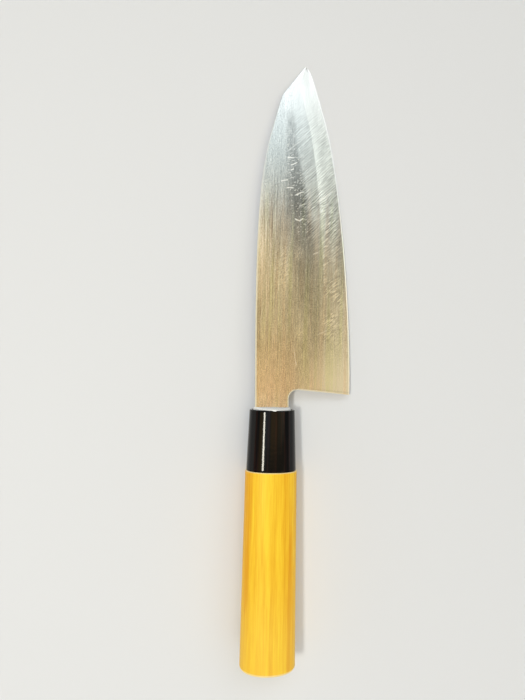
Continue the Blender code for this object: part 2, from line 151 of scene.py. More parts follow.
class ShaderGraph:
    """A material's node tree, written as expressions."""

    def __init__(self, tree: bpy.types.NodeTree, axes: Optional[Matrix] = None) -> None:
        """Starts from an empty tree.

        Args:
            tree: the tree.
            axes: where the axes stand that places are given in, if not the world's.
        """
        self.tree = tree
        self.axes = axes or Matrix.Identity(4)
        tree.nodes.clear()

    def node(
        self,
        kind: str,
        settings: Optional[dict[str, Any]] = None,
        sockets: Optional[dict[Union[str, int], Operand]] = None,
        output: Union[str, int] = 0,
    ) -> Signal:
        """Adds a node.

        Args:
            kind: the node's type.
            settings: its properties, set before its sockets. The name stops gives a
                colour ramp's stops as (place, colour) pairs.
            sockets: what its inputs get, a value or a link each.
            output: the output to give back.

        Returns:
            The chosen output.
        """
        item = self.tree.nodes.new(kind)
        for name, value in (settings or {}).items():
            if name == "stops":
                self._set_stops(item.color_ramp, value)
            else:
                setattr(item, name, value)
        for name, value in (sockets or {}).items():
            if isinstance(value, Signal):
                self.tree.links.new(value.socket, item.inputs[name])
            else:
                item.inputs[name].default_value = value
        return Signal(self, item.outputs[output] if item.outputs else None)

    @staticmethod
    def _set_stops(ramp: bpy.types.ColorRamp, stops: Sequence[tuple[float, Colour]]) -> None:
        """Gives a colour ramp its stops.

        Args:
            ramp: the ramp.
            stops: (place, colour) pairs, in order.
        """
        while len(ramp.elements) < len(stops):
            ramp.elements.new(1.0)
        for element, (place, colour) in zip(ramp.elements, stops):
            element.position = place
            element.color = (*colour, 1.0)

    def place(self) -> tuple[Signal, Signal, Signal]:
        """Gives the point's x, y and z in the graph's axes, in millimetres."""
        back = self.axes.inverted()
        sockets = {
            "Vector": self.node("ShaderNodeTexCoord", output="Object"),
            "Location": back.translation / MM,
            "Rotation": Vector(back.to_euler()),
            "Scale": (1 / MM, 1 / MM, 1 / MM),
        }
        return self.split(self.node("ShaderNodeMapping", {"vector_type": "POINT"}, sockets))

    def split(self, vector: Signal) -> tuple[Signal, Signal, Signal]:
        """Takes a vector apart."""
        x = self.node("ShaderNodeSeparateXYZ", None, {0: vector}, 0)
        outputs = x.socket.node.outputs
        return x, Signal(self, outputs[1]), Signal(self, outputs[2])

    def join(self, x: Operand, y: Operand, z: Operand) -> Signal:
        """Puts a vector together."""
        return self.node("ShaderNodeCombineXYZ", None, {0: x, 1: y, 2: z})

    def attribute(self, name: str) -> Signal:
        """Reads a number that the mesh holds at its points."""
        return self.node("ShaderNodeAttribute", {"attribute_name": name}, None, "Fac")

    def maths(self, operation: str, value: Signal) -> Signal:
        """Adds a Math node that takes one number."""
        return self.node("ShaderNodeMath", {"operation": operation}, {0: value})

    def noise(
        self, x: Operand, y: Operand, z: Operand, detail: float = 2.0, rough: float = 0.5
    ) -> Signal:
        """Gives smooth noise about 0.5.

        Args:
            x: the place along the first axis, in noise cells.
            y: along the second.
            z: along the third.
            detail: the number of finer layers.
            rough: how much the finer layers count.

        Returns:
            The noise.
        """
        sockets = {"Vector": self.join(x, y, z), "Scale": 1.0, "Detail": detail, "Roughness": rough}
        return self.node("ShaderNodeTexNoise", None, sockets, "Fac")

    def step(self, value: Signal, low: float, high: float) -> Signal:
        """Rises smoothly from 0 at low to 1 at high, and falls where low is the larger.

        Args:
            value: what is looked at.
            low: where the step is 0.
            high: where it is 1.

        Returns:
            The step.
        """
        start, end = (0.0, 1.0) if low < high else (1.0, 0.0)
        sockets = {"Value": value, "From Min": min(low, high), "From Max": max(low, high)}
        sockets.update({"To Min": start, "To Max": end})
        return self.node("ShaderNodeMapRange", {"interpolation_type": "SMOOTHSTEP"}, sockets)

    def ramp(self, value: Signal, stops: Sequence[tuple[float, Colour]]) -> Signal:
        """Turns a number into a colour through a ramp."""
        return self.node("ShaderNodeValToRGB", {"stops": stops}, {0: value})

    def blend(self, share: Operand, first: Operand, second: Operand, how: str = "MIX") -> Signal:
        """Blends two colours.

        Args:
            share: how much of the second colour there is.
            first: the first colour.
            second: the second colour.
            how: the kind of blend.

        Returns:
            The blend.
        """
        first, second = (self._opaque(item) for item in (first, second))
        settings = {"data_type": "RGBA", "blend_type": how}
        return self.node("ShaderNodeMix", settings, {0: share, 6: first, 7: second}, 2)

    @staticmethod
    def _opaque(colour: Operand) -> Operand:
        """Gives a plain colour its alpha."""
        return colour if isinstance(colour, Signal) else (*colour, 1.0)

    def bump(self, height: Signal, millimetres: float, below: Optional[Signal] = None) -> Signal:
        """Turns a height from 0 to 1 into a normal.

        Args:
            height: the height.
            millimetres: what a height of 1 stands for.
            below: a normal to add to.

        Returns:
            The normal.
        """
        sockets: dict[Union[str, int], Operand] = {"Height": height, "Distance": millimetres * MM}
        if below is not None:
            sockets["Normal"] = below
        return self.node("ShaderNodeBump", None, sockets)

    def surface(self, **inputs: Operand) -> None:
        """Ends the graph in a Principled shader.

        Args:
            inputs: its sockets by name, with spaces written as underscores.
        """
        shader = self.node("ShaderNodeBsdfPrincipled")
        for name, value in inputs.items():
            socket = shader.socket.node.inputs[name.replace("_", " ")]
            if isinstance(value, Signal):
                self.tree.links.new(value.socket, socket)
            else:
                socket.default_value = value
        self.node("ShaderNodeOutputMaterial", None, {"Surface": shader})


def new_material(name: str, axes: Optional[Matrix] = None) -> tuple[bpy.types.Material, ShaderGraph]:
    """Makes a material with an empty graph.

    Args:
        name: the material's name.
        axes: the axes that the graph gives places in.

    Returns:
        The material and its graph.
    """
    material = bpy.data.materials.new(name)
    material.use_nodes = True
    return material, ShaderGraph(material.node_tree, axes)


class Finish(ABC):
    """A finish that a piece can take."""

    title: ClassVar[str]

    @abstractmethod
    def paint(self, graph: ShaderGraph) -> None:
        """Draws the finish.

        Args:
            graph: the material's graph.
        """

    def material(self, axes: Matrix) -> bpy.types.Material:
        """Builds the material.

        Args:
            axes: the axes of the piece that takes it.

        Returns:
            The material.
        """
        material, graph = new_material(self.title, axes)
        self.paint(graph)
        return material


@dataclass(frozen=True)
class Fade:
    """A smooth change from low, up to its start, to low + gain, from its end on."""

    start: float
    end: float
    gain: float = 1.0
    low: float = 0.0

    def at(self, graph: ShaderGraph, value: Signal) -> Signal:
        """Gives what it comes to at a value."""
        share = graph.step(value, self.start, self.end)
        share = share if self.gain == 1.0 else share * self.gain
        return share if self.low == 0.0 else share + self.low


@dataclass(frozen=True)
class Zone:
    """A soft-edged part of a surface: fades along the knife times fades across it."""

    along: tuple[Fade, ...]
    across: tuple[Fade, ...] = ()

    def cover(self, graph: ShaderGraph, x: Signal, y: Signal) -> Signal:
        """Gives how much of the zone there is.

        Args:
            graph: the material's graph.
            x: the place along the knife.
            y: the place across it.

        Returns:
            The product of the fades.
        """
        shares = [fade.at(graph, x) for fade in self.along]
        shares += [fade.at(graph, y) for fade in self.across]
        return math.prod(shares[1:], start=shares[0])


@dataclass(frozen=True)
class Layer:
    """One layer of smooth noise, in cells to the millimetre along the knife and across it.

    The seed sets one layer on a flat face apart from the others.
    """

    along: float
    across: float
    detail: float = 2.0
    rough: float = 0.5
    seed: float = 0.0

    def flat(self, graph: ShaderGraph, x: Signal, y: Signal) -> Signal:
        """Draws the layer on a flat face."""
        return graph.noise(x * self.along, y * self.across, self.seed, self.detail, self.rough)

    def solid(self, graph: ShaderGraph, x: Signal, y: Signal, z: Signal) -> Signal:
        """Draws the layer through a solid."""
        return graph.noise(x * self.along, y * self.across, z * self.across, self.detail, self.rough)

    def swing(self, graph: ShaderGraph, x: Signal, y: Signal) -> Signal:
        """Draws the layer on a flat face, about 0."""
        return self.flat(graph, x, y) - MIDDLE


@dataclass(frozen=True)
class Marks:
    """Short separate scratches strewn over a face, one at most in each cell.

    Sizes are in millimetres and angles in radians, off the blade's length. Keep is the share
    of the cells that have one. Thin and tapered are the shares of its width and length from
    which it fades.
    """

    cell: float
    turn: float
    spread: float
    length: float
    width: float
    bend: float
    keep: float
    seed: float
    thin: float = 0.3
    tapered: float = 0.5
    keep_soft: float = 0.02

    def draw(self, graph: ShaderGraph, x: Signal, y: Signal) -> Signal:
        """Draws the scratches.

        Args:
            graph: the material's graph.
            x: the place along the blade.
            y: the place across it.

        Returns:
            How strongly a scratch shows.
        """
        place = graph.join(x / self.cell + self.seed, y / self.cell, 0.0)
        settings = {"voronoi_dimensions": "2D", "feature": "F1"}
        sockets = {"Vector": place, "Scale": 1.0}
        middle = graph.node("ShaderNodeTexVoronoi", settings, sockets, "Position")
        chance, turn, _ = graph.split(middle.other("Color"))
        off_x, off_y, _ = graph.split(place - middle)
        angle = (turn - MIDDLE) * self.spread + self.turn
        cos, sin = (graph.maths(way, angle) for way in ("COSINE", "SINE"))
        along = off_x * cos + off_y * sin
        across = off_y * cos - off_x * sin - along * along * self.bend
        half, wide = self.length / self.cell / 2, self.width / self.cell
        line = graph.step(abs(across), wide, wide * self.thin)
        line = line * graph.step(abs(along), half, half * self.tapered)
        return line * graph.step(chance, self.keep + self.keep_soft, self.keep)


@dataclass(frozen=True)
class Scratch:
    """One single scratch on the blade's right face, in millimetres.

    Thin is the share of its width from which it fades. Ends are the shares of its length,
    off its middle, where it is gone and from which it fades.
    """

    start: tuple[float, float]
    end: tuple[float, float]
    width: float = 0.42
    bend: float = 0.0
    strength: float = 0.8
    thin: float = 0.2
    ends: tuple[float, float] = (0.55, 0.30)

    def draw(self, graph: ShaderGraph, x: Signal, y: Signal) -> Signal:
        """Draws the scratch.

        Args:
            graph: the material's graph.
            x: the place along the blade.
            y: the place across it.

        Returns:
            How strongly it shows.
        """
        run = Vector(self.end) - Vector(self.start)
        middle = (Vector(self.end) + Vector(self.start)) / 2
        cos, sin = run.normalized()
        along = x * cos + y * sin - middle.dot((cos, sin))
        across = y * cos - x * sin - middle.dot((-sin, cos)) - along * along * self.bend
        line = graph.step(abs(across), self.width, self.width * self.thin)
        ends = (run.length * share for share in self.ends)
        return line * graph.step(abs(along), *ends) * self.strength


@dataclass(frozen=True)
class Strokes:
    """Slanted strokes of a stone: one layer of them, in millimetres and radians.

    A larger share of even strokes makes them run side by side, and sway bends them.
    """

    turn: float
    length: float
    width: float
    sharp: float
    even: float = 0.0
    sway: float = 0.0
    sway_cells: float = 0.25
    even_wander: float = 9.0
    even_layer: Layer = Layer(1.5, 0.12, 1, seed=3.0)

    def draw(self, graph: ShaderGraph, x: Signal, y: Signal) -> Signal:
        """Draws the strokes.

        Args:
            graph: the material's graph.
            x: the place along the blade.
            y: the place across it.

        Returns:
            The strokes, about 0 and at most half to either side.
        """
        if self.sway:
            sway = Layer(self.sway_cells, self.sway_cells, 1, seed=self.width)
            x = x + sway.swing(graph, x, y) * self.sway
        cos, sin = math.cos(self.turn), math.sin(self.turn)
        along = (x * cos + y * sin) / self.length
        across = (y * cos - x * sin) / self.width
        loose = graph.noise(along, across, self.length, 1)
        loose = graph.step(loose, self.sharp, 1.0 - self.sharp) - MIDDLE
        if not self.even:
            return loose
        phase = across * math.pi + self.even_layer.flat(graph, along, across) * self.even_wander
        return loose * (1.0 - self.even) + graph.maths("SINE", phase) * MIDDLE * self.even


@dataclass(frozen=True)
class Smudge:
    """A soft paler patch on the blade's right face, in millimetres."""

    middle: tuple[float, float]
    reach: tuple[float, float]
    strength: float
    wobble: float = 0.8
    wobble_cells: float = 0.4
    rim: Fade = Fade(1.5, 0.3)

    def draw(self, graph: ShaderGraph, x: Signal, y: Signal) -> Signal:
        """Draws the patch, from 0 to its strength.

        Args:
            graph: the material's graph.
            x: the place along the blade.
            y: the place across it.

        Returns:
            How much paler the steel is.
        """
        along, across = (x - self.middle[0]) / self.reach[0], (y - self.middle[1]) / self.reach[1]
        wobble = Layer(self.wobble_cells, self.wobble_cells, 1, seed=self.middle[0])
        far = along * along + across * across + wobble.flat(graph, x, y) * self.wobble
        return self.rim.at(graph, far) * self.strength


class Across(Enum):
    """What a zone's place across the blade is measured from."""

    AXIS = "up from the knife's axis"
    EDGE = "up from the edge"
    BEVEL = "down from the bevel's line"
    # The dull column is a dark reflection painted into the steel's colour.
    COLUMN = "up from the dull column's middle"
    REACH = "the same, as a share of the column's half width"


@dataclass(frozen=True)
class SatinSteel(Finish):
    """Steel brushed along the blade, with slanted strokes of the stone near the edge."""

    title: ClassVar[str] = "satin steel"
    colour: Colour = (0.64, 0.635, 0.62)
    bright: Colour = (0.97, 0.965, 0.95)
    rosy: Colour = (1.0, 0.92, 0.86)
    greenish: Colour = (0.96, 1.0, 0.84)
    ruddy: Colour = (1.0, 0.90, 0.80)
    roughness: float = 0.20
    least_roughness: float = 0.12
    grain_roughness: float = 0.10
    marks_roughness: float = 0.16
    grain_depth: float = 0.003
    grain_bump: tuple[float, float] = (0.6, 0.4)
    stroke_depth: float = 0.004
    above_edge: str = "above_edge"
    right_side: Fade = Fade(-0.05, 0.05)

    # Where the bevel's line runs, and the dull column: a dark reflection painted into the steel's
    # colour.
    bevel_heel: float = 14.3
    bevel_narrowing: float = 0.0363
    bevel_side: Fade = Fade(-0.15, 0.15)
    column_middle: Fade = Fade(50.0, 150.0, 10.5, -17.0)
    column_wander: float = 3.4
    column_half: Fade = Fade(140.0, 90.0, 1.3, 0.95)
    wander: Layer = Layer(0.07, 0.05, seed=4.0)

    # The layers of the brushed grain, and what each weighs.
    fine: Layer = Layer(0.24, 1.9, 1, seed=1.0)
    grit: Layer = Layer(1.5, 2.1, 0, seed=3.0)
    long: Layer = Layer(0.035, 1.3, seed=5.0)
    broad: Layer = Layer(0.02, 0.35, seed=8.0)
    cloud: Layer = Layer(0.05, 0.09, seed=9.0)
    fine_weight: Fade = Fade(50.0, 20.0, 0.14, 0.60)
    grit_weight: float = 0.60
    long_weight: float = 0.28
    long_more: Zone = Zone((Fade(8.0, 45.0), Fade(130.0, 90.0)), (Fade(-9.0, 3.0, 0.80, 0.25),))
    broad_weight: float = 0.28
    cloud_weight: float = 0.20
    grain_ahead: Fade = Fade(152.0, 112.0, 0.30, 0.70)

    # The calm steel at the heel's corner, with less grain, and painted paler as a reflection.
    heel_calm: Zone = Zone((Fade(38.0, 12.0),), (Fade(-10.0, -26.0),))
    calm_smooths: float = 0.4
    calm_painted_paler: float = 0.55

    # The stone's strokes: hatched ahead, feathered behind, and what they smooth of the grain.
    strokes_smooth: float = 0.6
    hatch: Strokes = Strokes(-0.80, 5.2, 0.50, 0.36, 0.45)
    hatched: Zone = Zone((Fade(66.0, 92.0),), (Fade(0.5, -4.0),))
    hatch_weight: Zone = Zone((Fade(128.0, 106.0, 0.36, 0.48), Fade(158.0, 138.0)))
    feathers: Strokes = Strokes(-0.90, 2.4, 0.46, 0.38, 0.0, 1.2)
    feathered: Zone = Zone((Fade(24.0, 48.0), Fade(125.0, 95.0)), (Fade(1.8, 4.0),))
    feather_weight: float = 0.80
    feather_low: float = -0.22
    feather_lift: float = 0.03
    smudge_feathers: float = 2.0
    patches: Layer = Layer(0.13, 0.16, seed=2.0)
    patch_rim: Fade = Fade(0.36, 0.58)
    patch_share: float = 0.4

    # The wide parts painted paler or duller than the rest as reflections: a highlight beside the
    # bevel's line, a paler band and a duller stretch by the spine, and duller steel by the edge.
    reflection_tones: tuple[tuple[Across, Zone], ...] = (
        (Across.BEVEL, Zone(
            (Fade(56.0, 84.0), Fade(95.0, 125.0, 0.08, 0.24), Fade(152.0, 124.0, 0.75, 0.25)),
            (Fade(4.2, 0.5), Fade(-0.15, 0.15)),
        )),
        (Across.AXIS, Zone((Fade(60.0, 85.0), Fade(125.0, 105.0, 0.30)), (Fade(0.5, 7.5),))),
        (Across.AXIS, Zone((Fade(58.0, 48.0), Fade(20.0, 32.0, -0.09)), (Fade(0.5, 7.5),))),
        (Across.EDGE, Zone((Fade(52.0, 66.0), Fade(128.0, 108.0, -0.13)), (Fade(6.5, 2.5),))),
    )
    # The dull column: a dark reflection painted down the face, deeper along some stretches.
    column: Zone = Zone((Fade(153.0, 142.0),), (Fade(-3.4, -1.2), Fade(4.6, 0.4)))
    dark_reflection_depths: tuple[Zone, ...] = (
        Zone((Fade(22.0, 98.0, 0.41),)),
        Zone((Fade(112.0, 135.0, -0.09),)),
        Zone((Fade(93.0, 102.0), Fade(122.0, 108.0, 0.14))),
    )
    heel_lean: float = 0.0805
    heel_x: float = 10.8
    # A thin line of painted shade just inside the heel line, darker towards the edge.
    shade_line_inset: float = 1.15
    shade_line_side: Fade = Fade(0.55, 0.15)
    shade_line_end: Fade = Fade(-14.0, -24.0, 0.24)
    honed: Fade = Fade(0.66, 0.58, 0.75)

    # The colours of the film of oil.
    film: Layer = Layer(0.018, 0.34, 1, seed=15.0)
    film_stops: tuple[float, float, float] = (0.30, 0.5, 0.70)
    film_end: Fade = Fade(118.0, 92.0, 0.8)
    ruddy_zone: Zone = Zone((Fade(46.0, 26.0), Fade(2.0, 12.0)), (Fade(-16.0, -7.0, 0.55),))

    # The scratches: real marks, painted near white as glints.
    strewn_zone: Zone = Zone(
        (Fade(150.0, 130.0), Fade(74.0, 92.0)),
        (Fade(-8.0, -3.0), Fade(5.0, 3.0)),
    )
    glints: Marks = Marks(2.1, -1.1, 0.9, 2.2, 0.22, 0.04, 0.36, 0.0)
    glint_strength: float = 0.5
    specks: Marks = Marks(1.3, -1.1, 0.9, 0.9, 0.26, 0.0, 0.30, 3.0)
    speck_strength: float = 0.6
    hairlines: Marks = Marks(11.0, -0.3, 2.4, 11.0, 0.16, 0.10, 0.45, 5.0)
    hairline_strength: float = 0.16
    marks_strength: float = 0.85
    smudges: tuple[Smudge, ...] = (
        Smudge((77.5, -12.0), (5.5, 2.8), 0.17),
        Smudge((38.5, -13.0), (4.5, 3.2), 0.12),
        Smudge((97.8, -18.6), (5.0, 3.2), 0.14),
        Smudge((69.0, -4.0), (15.0, 5.5), 0.15),
    )
    scratches: tuple[Scratch, ...] = (
        Scratch((125.8, -4.7), (125.9, -8.9), 0.42, 0.02, 1.0),
        Scratch((121.8, -6.6), (123.7, -10.3), 0.42, 0.05, 0.9),
        Scratch((119.5, -6.8), (120.4, -8.6), 0.45, 0.0, 1.0),
        Scratch((113.7, -1.9), (114.6, -5.7), 0.40, 0.0, 1.0),
        Scratch((110.6, -4.6), (110.7, -8.7), 0.45, -0.05, 1.0),
        Scratch((107.0, -8.8), (109.3, -14.1), 0.40, -0.04, 0.9),
        Scratch((106.9, -10.1), (107.7, -11.1), 0.55, 0.0, 1.0),
        Scratch((95.0, -9.3), (94.2, -11.5), 0.55, 0.0, 1.0),
        Scratch((93.9, -11.4), (95.6, -13.9), 0.50, 0.0, 1.0),
        Scratch((101.4, -11.2), (103.1, -14.7), 0.35, 0.0, 0.7),
        Scratch((128.7, -4.6), (134.8, -11.6), 0.35, 0.0, 0.45),
        Scratch((77.6, -18.8), (78.8, -21.8), 0.45, 0.0, 0.6),
        Scratch((104.1, -21.1), (111.1, -29.6), 0.50, 0.0, 0.75),
        Scratch((31.7, -9.7), (21.0, -11.5), 0.40, 0.01, 0.50),
        Scratch((37.0, -21.3), (39.9, -27.3), 0.40, 0.02, 0.42),
    )

    def paint(self, graph: ShaderGraph) -> None:
        """Draws the finish.

        Args:
            graph: the material's graph.
        """
        x, y, z = graph.place()
        across = self._across(graph, x, y)
        fine, broad = (layer.flat(graph, x, y) for layer in (self.fine, self.broad))
        calm = self.heel_calm.cover(graph, x, y)
        patchy = self.patch_rim.at(graph, self.patches.flat(graph, x, y))
        hatched = self.hatched.cover(graph, x, across[Across.COLUMN])
        feathered = self.feathered.cover(graph, x, across[Across.EDGE]) * patchy
        feathered = feathered * self.bevel_side.at(graph, across[Across.BEVEL])
        smudge: Operand = 0.0
        for patch in self.smudges:
            smudge = patch.draw(graph, x, y) + smudge
        kept = 1.0 - hatched.most(feathered) * self.strokes_smooth
        kept = kept * (1.0 - calm * self.calm_smooths) * self.grain_ahead.at(graph, x)
        grain = self._fine_grain(graph, x, y, fine) * kept
        grain = grain + (broad - MIDDLE) * self.broad_weight
        grain = grain + self.cloud.swing(graph, x, y) * self.cloud_weight
        hatched = hatched * (patchy * self.patch_share + (1.0 - self.patch_share))
        feathered = (feathered * self.feather_weight).most(smudge * self.smudge_feathers)
        strokes = self._strokes(graph, x, y, hatched, feathered)
        marks = self._marks(graph, x, y, across[Across.COLUMN]) * self.right_side.at(graph, z)
        shade = grain + strokes + smudge + self._painted_light(graph, x, y, across) + 1.0
        base = graph.blend(1.0, self.colour, graph.join(shade, shade, shade), "MULTIPLY")
        # The heel's corner and the honed strip are painted near white as reflections, and the
        # scratches as glints.
        honed = self.honed.at(graph, across[Across.EDGE])
        base = graph.blend((calm * self.calm_painted_paler).most(marks).most(honed), base, self.bright)
        base = graph.blend(1.0, base, self._tint(graph, x, y), "MULTIPLY")
        roughness = grain * self.grain_roughness + marks * self.marks_roughness + self.roughness
        normal = graph.bump(fine * self.grain_bump[0] + broad * self.grain_bump[1], self.grain_depth)
        normal = graph.bump(strokes, self.stroke_depth, normal)
        roughness = roughness.most(self.least_roughness)
        graph.surface(Base_Color=base, Metallic=1.0, Roughness=roughness, Normal=normal)

    def _fine_grain(self, graph: ShaderGraph, x: Signal, y: Signal, fine: Signal) -> Signal:
        """Draws the brushed grain, but for its two broadest layers.

        Args:
            graph: the material's graph.
            x: the place along the blade.
            y: the place across it.
            fine: the grain's finest layer.

        Returns:
            The grain, about 0.
        """
        grain = (fine - MIDDLE) * self.fine_weight.at(graph, x)
        grain = grain + self.grit.swing(graph, x, y) * self.grit_weight
        long_weight = self.long_more.cover(graph, x, y) + self.long_weight
        return grain + self.long.swing(graph, x, y) * long_weight

    def _strokes(
        self, graph: ShaderGraph, x: Signal, y: Signal, hatched: Signal, feathered: Signal
    ) -> Signal:
        """Draws the stone's strokes.

        Args:
            graph: the material's graph.
            x: the place along the blade.
            y: the place across it.
            hatched: how much of the long strokes there is.
            feathered: how much of the short strokes there is.

        Returns:
            The strokes, about 0.
        """
        hatch = self.hatch.draw(graph, x, y) * self.hatch_weight.cover(graph, x, y)
        feathers = self.feathers.draw(graph, x, y).most(self.feather_low) + self.feather_lift
        return hatch * hatched + feathers * feathered

    def _across(self, graph: ShaderGraph, x: Signal, y: Signal) -> dict[Across, Signal]:
        """Measures the place across the blade in every way that the zones use.

        Args:
            graph: the material's graph.
            x: the place along the blade.
            y: the place across it.

        Returns:
            The measures.
        """
        above = graph.attribute(self.above_edge)
        column = y - self.column_middle.at(graph, x)
        column = column + self.wander.swing(graph, x, y) * self.column_wander
        return {
            Across.AXIS: y,
            Across.EDGE: above,
            Across.BEVEL: self.bevel_heel - x * self.bevel_narrowing - above,
            Across.COLUMN: column,
            Across.REACH: column / self.column_half.at(graph, x),
        }

    def _painted_light(
        self, graph: ShaderGraph, x: Signal, y: Signal, across: dict[Across, Signal]
    ) -> Signal:
        """Draws the painted light: reflections painted paler or duller over wide parts of the face,
        the dull column, and a line of shade by the heel.

        Args:
            graph: the material's graph.
            x: the place along the blade.
            y: the place across it.
            across: the measures across the blade.

        Returns:
            How much paler the steel is.
        """
        tone: Operand = 0.0
        for measure, zone in self.reflection_tones:
            tone = zone.cover(graph, x, across[measure]) + tone
        depth: Operand = 0.0
        for zone in self.dark_reflection_depths:
            depth = zone.cover(graph, x, y) + depth
        column = self.column.cover(graph, x, across[Across.REACH]) * depth
        # A thin line of painted shade just inside the heel line.
        inside = x - y * self.heel_lean - (self.heel_x + self.shade_line_inset)
        shade_line = self.shade_line_side.at(graph, abs(inside)) * self.shade_line_end.at(graph, y)
        return tone - column - shade_line

    def _tint(self, graph: ShaderGraph, x: Signal, y: Signal) -> Signal:
        """Gives the faint colours that a film of oil leaves on the steel.

        Args:
            graph: the material's graph.
            x: the place along the blade.
            y: the place across it.

        Returns:
            The colour that the steel's is multiplied by.
        """
        colours = (self.rosy, WHITE, self.greenish)
        streaky = graph.ramp(self.film.flat(graph, x, y), list(zip(self.film_stops, colours)))
        tint = graph.blend(self.film_end.at(graph, x), WHITE, streaky)
        return graph.blend(self.ruddy_zone.cover(graph, x, y), tint, self.ruddy)

    def _marks(self, graph: ShaderGraph, x: Signal, y: Signal, column: Signal) -> Signal:
        """Draws the strewn and the single scratches, which the steel's colour paints near white as
        glints.

        Args:
            graph: the material's graph.
            x: the place along the blade.
            y: the place across it.
            column: how far to the spine's side of the middle of the painted dark reflection.

        Returns:
            How strongly a scratch shows.
        """
        strewn = self.glints.draw(graph, x, y) * self.glint_strength
        strewn = strewn.most(self.specks.draw(graph, x, y) * self.speck_strength)
        total = strewn * self.strewn_zone.cover(graph, x, column)
        total = total.most(self.hairlines.draw(graph, x, y) * self.hairline_strength)
        for scratch in self.scratches:
            total = total.most(scratch.draw(graph, x, y))
        return total * self.marks_strength


@dataclass(frozen=True)
class BrightRim(Finish):
    """Steel rubbed bright along the blade's rims, painted paler than steel, cream towards the handle
    and cool towards the tip, as the highlights along them.
    """

    title: ClassVar[str] = "bright rim"
    colour: Colour = (0.96, 0.87, 0.64)
    tip_colour: Colour = (0.86, 0.90, 0.88)
    towards_tip: Fade = Fade(75.0, 125.0)
    rub: Layer = Layer(0.8, 0.8, 3)
    rub_across: float = 2.5
    rub_shade: tuple[float, float] = (0.3, 0.85)
    rub_depth: float = 0.01
    roughness: float = 0.24
    rub_roughness: float = 0.12

    def paint(self, graph: ShaderGraph) -> None:
        """Draws the finish.

        Args:
            graph: the material's graph.
        """
        x, y, z = graph.place()
        rub = self.rub.solid(graph, x, y, z * self.rub_across)
        shade = rub * self.rub_shade[0] + self.rub_shade[1]
        # Cream towards the handle and cool towards the tip: painted highlight tints.
        base = graph.blend(self.towards_tip.at(graph, x), self.colour, self.tip_colour)
        base = graph.blend(1.0, base, graph.join(shade, shade, shade), "MULTIPLY")
        roughness = rub * self.rub_roughness + self.roughness
        normal = graph.bump(rub, self.rub_depth)
        graph.surface(Base_Color=base, Metallic=1.0, Roughness=roughness, Normal=normal)


@dataclass(frozen=True)
class PolishedBlack(Finish):
    """Polished black with a faint warm streak in it."""

    title: ClassVar[str] = "polished black"
    colour: Colour = (0.003, 0.003, 0.003)
    streak_colour: Colour = (0.016, 0.006, 0.004)
    streak: Layer = Layer(0.012, 0.55, 3)
    streak_rim: Fade = Fade(0.50, 0.72)
    roughness: float = 0.065
    rub: Layer = Layer(0.05, 2.5, 3)
    rub_roughness: float = 0.05
    wave: Layer = Layer(0.7, 0.3)
    wave_depth: float = 0.02
    ior: float = 1.28

    def paint(self, graph: ShaderGraph) -> None:
        """Draws the finish.

        Args:
            graph: the material's graph.
        """
        place = graph.place()
        streak = self.streak_rim.at(graph, self.streak.solid(graph, *place))
        base = graph.blend(streak, self.colour, self.streak_colour)
        roughness = self.rub.solid(graph, *place) * self.rub_roughness + self.roughness
        normal = graph.bump(self.wave.solid(graph, *place), self.wave_depth)
        graph.surface(Base_Color=base, Roughness=roughness, IOR=self.ior, Normal=normal)


@dataclass(frozen=True)
class Streak:
    """A streak along the handle, deeper than the rest or paler, in millimetres: in the wood itself,
    or painted light and shade.
    """

    across: float
    width: float
    front: float
    back: float
    depth: float
    end_soft: float = 8.0
    thin: float = 0.15

    def draw(self, graph: ShaderGraph, x: Signal, y: Signal) -> Signal:
        """Draws the streak.

        Args:
            graph: the material's graph.
            x: the place along the handle.
            y: the place across it.

        Returns:
            How much it deepens the wood.
        """
        ends = graph.step(x, self.back - self.end_soft, self.back + self.end_soft)
        ends = ends * graph.step(x, self.front + self.end_soft, self.front - self.end_soft)
        side = graph.step(abs(y - self.across), self.width, self.width * self.thin)
        return side * ends * self.depth


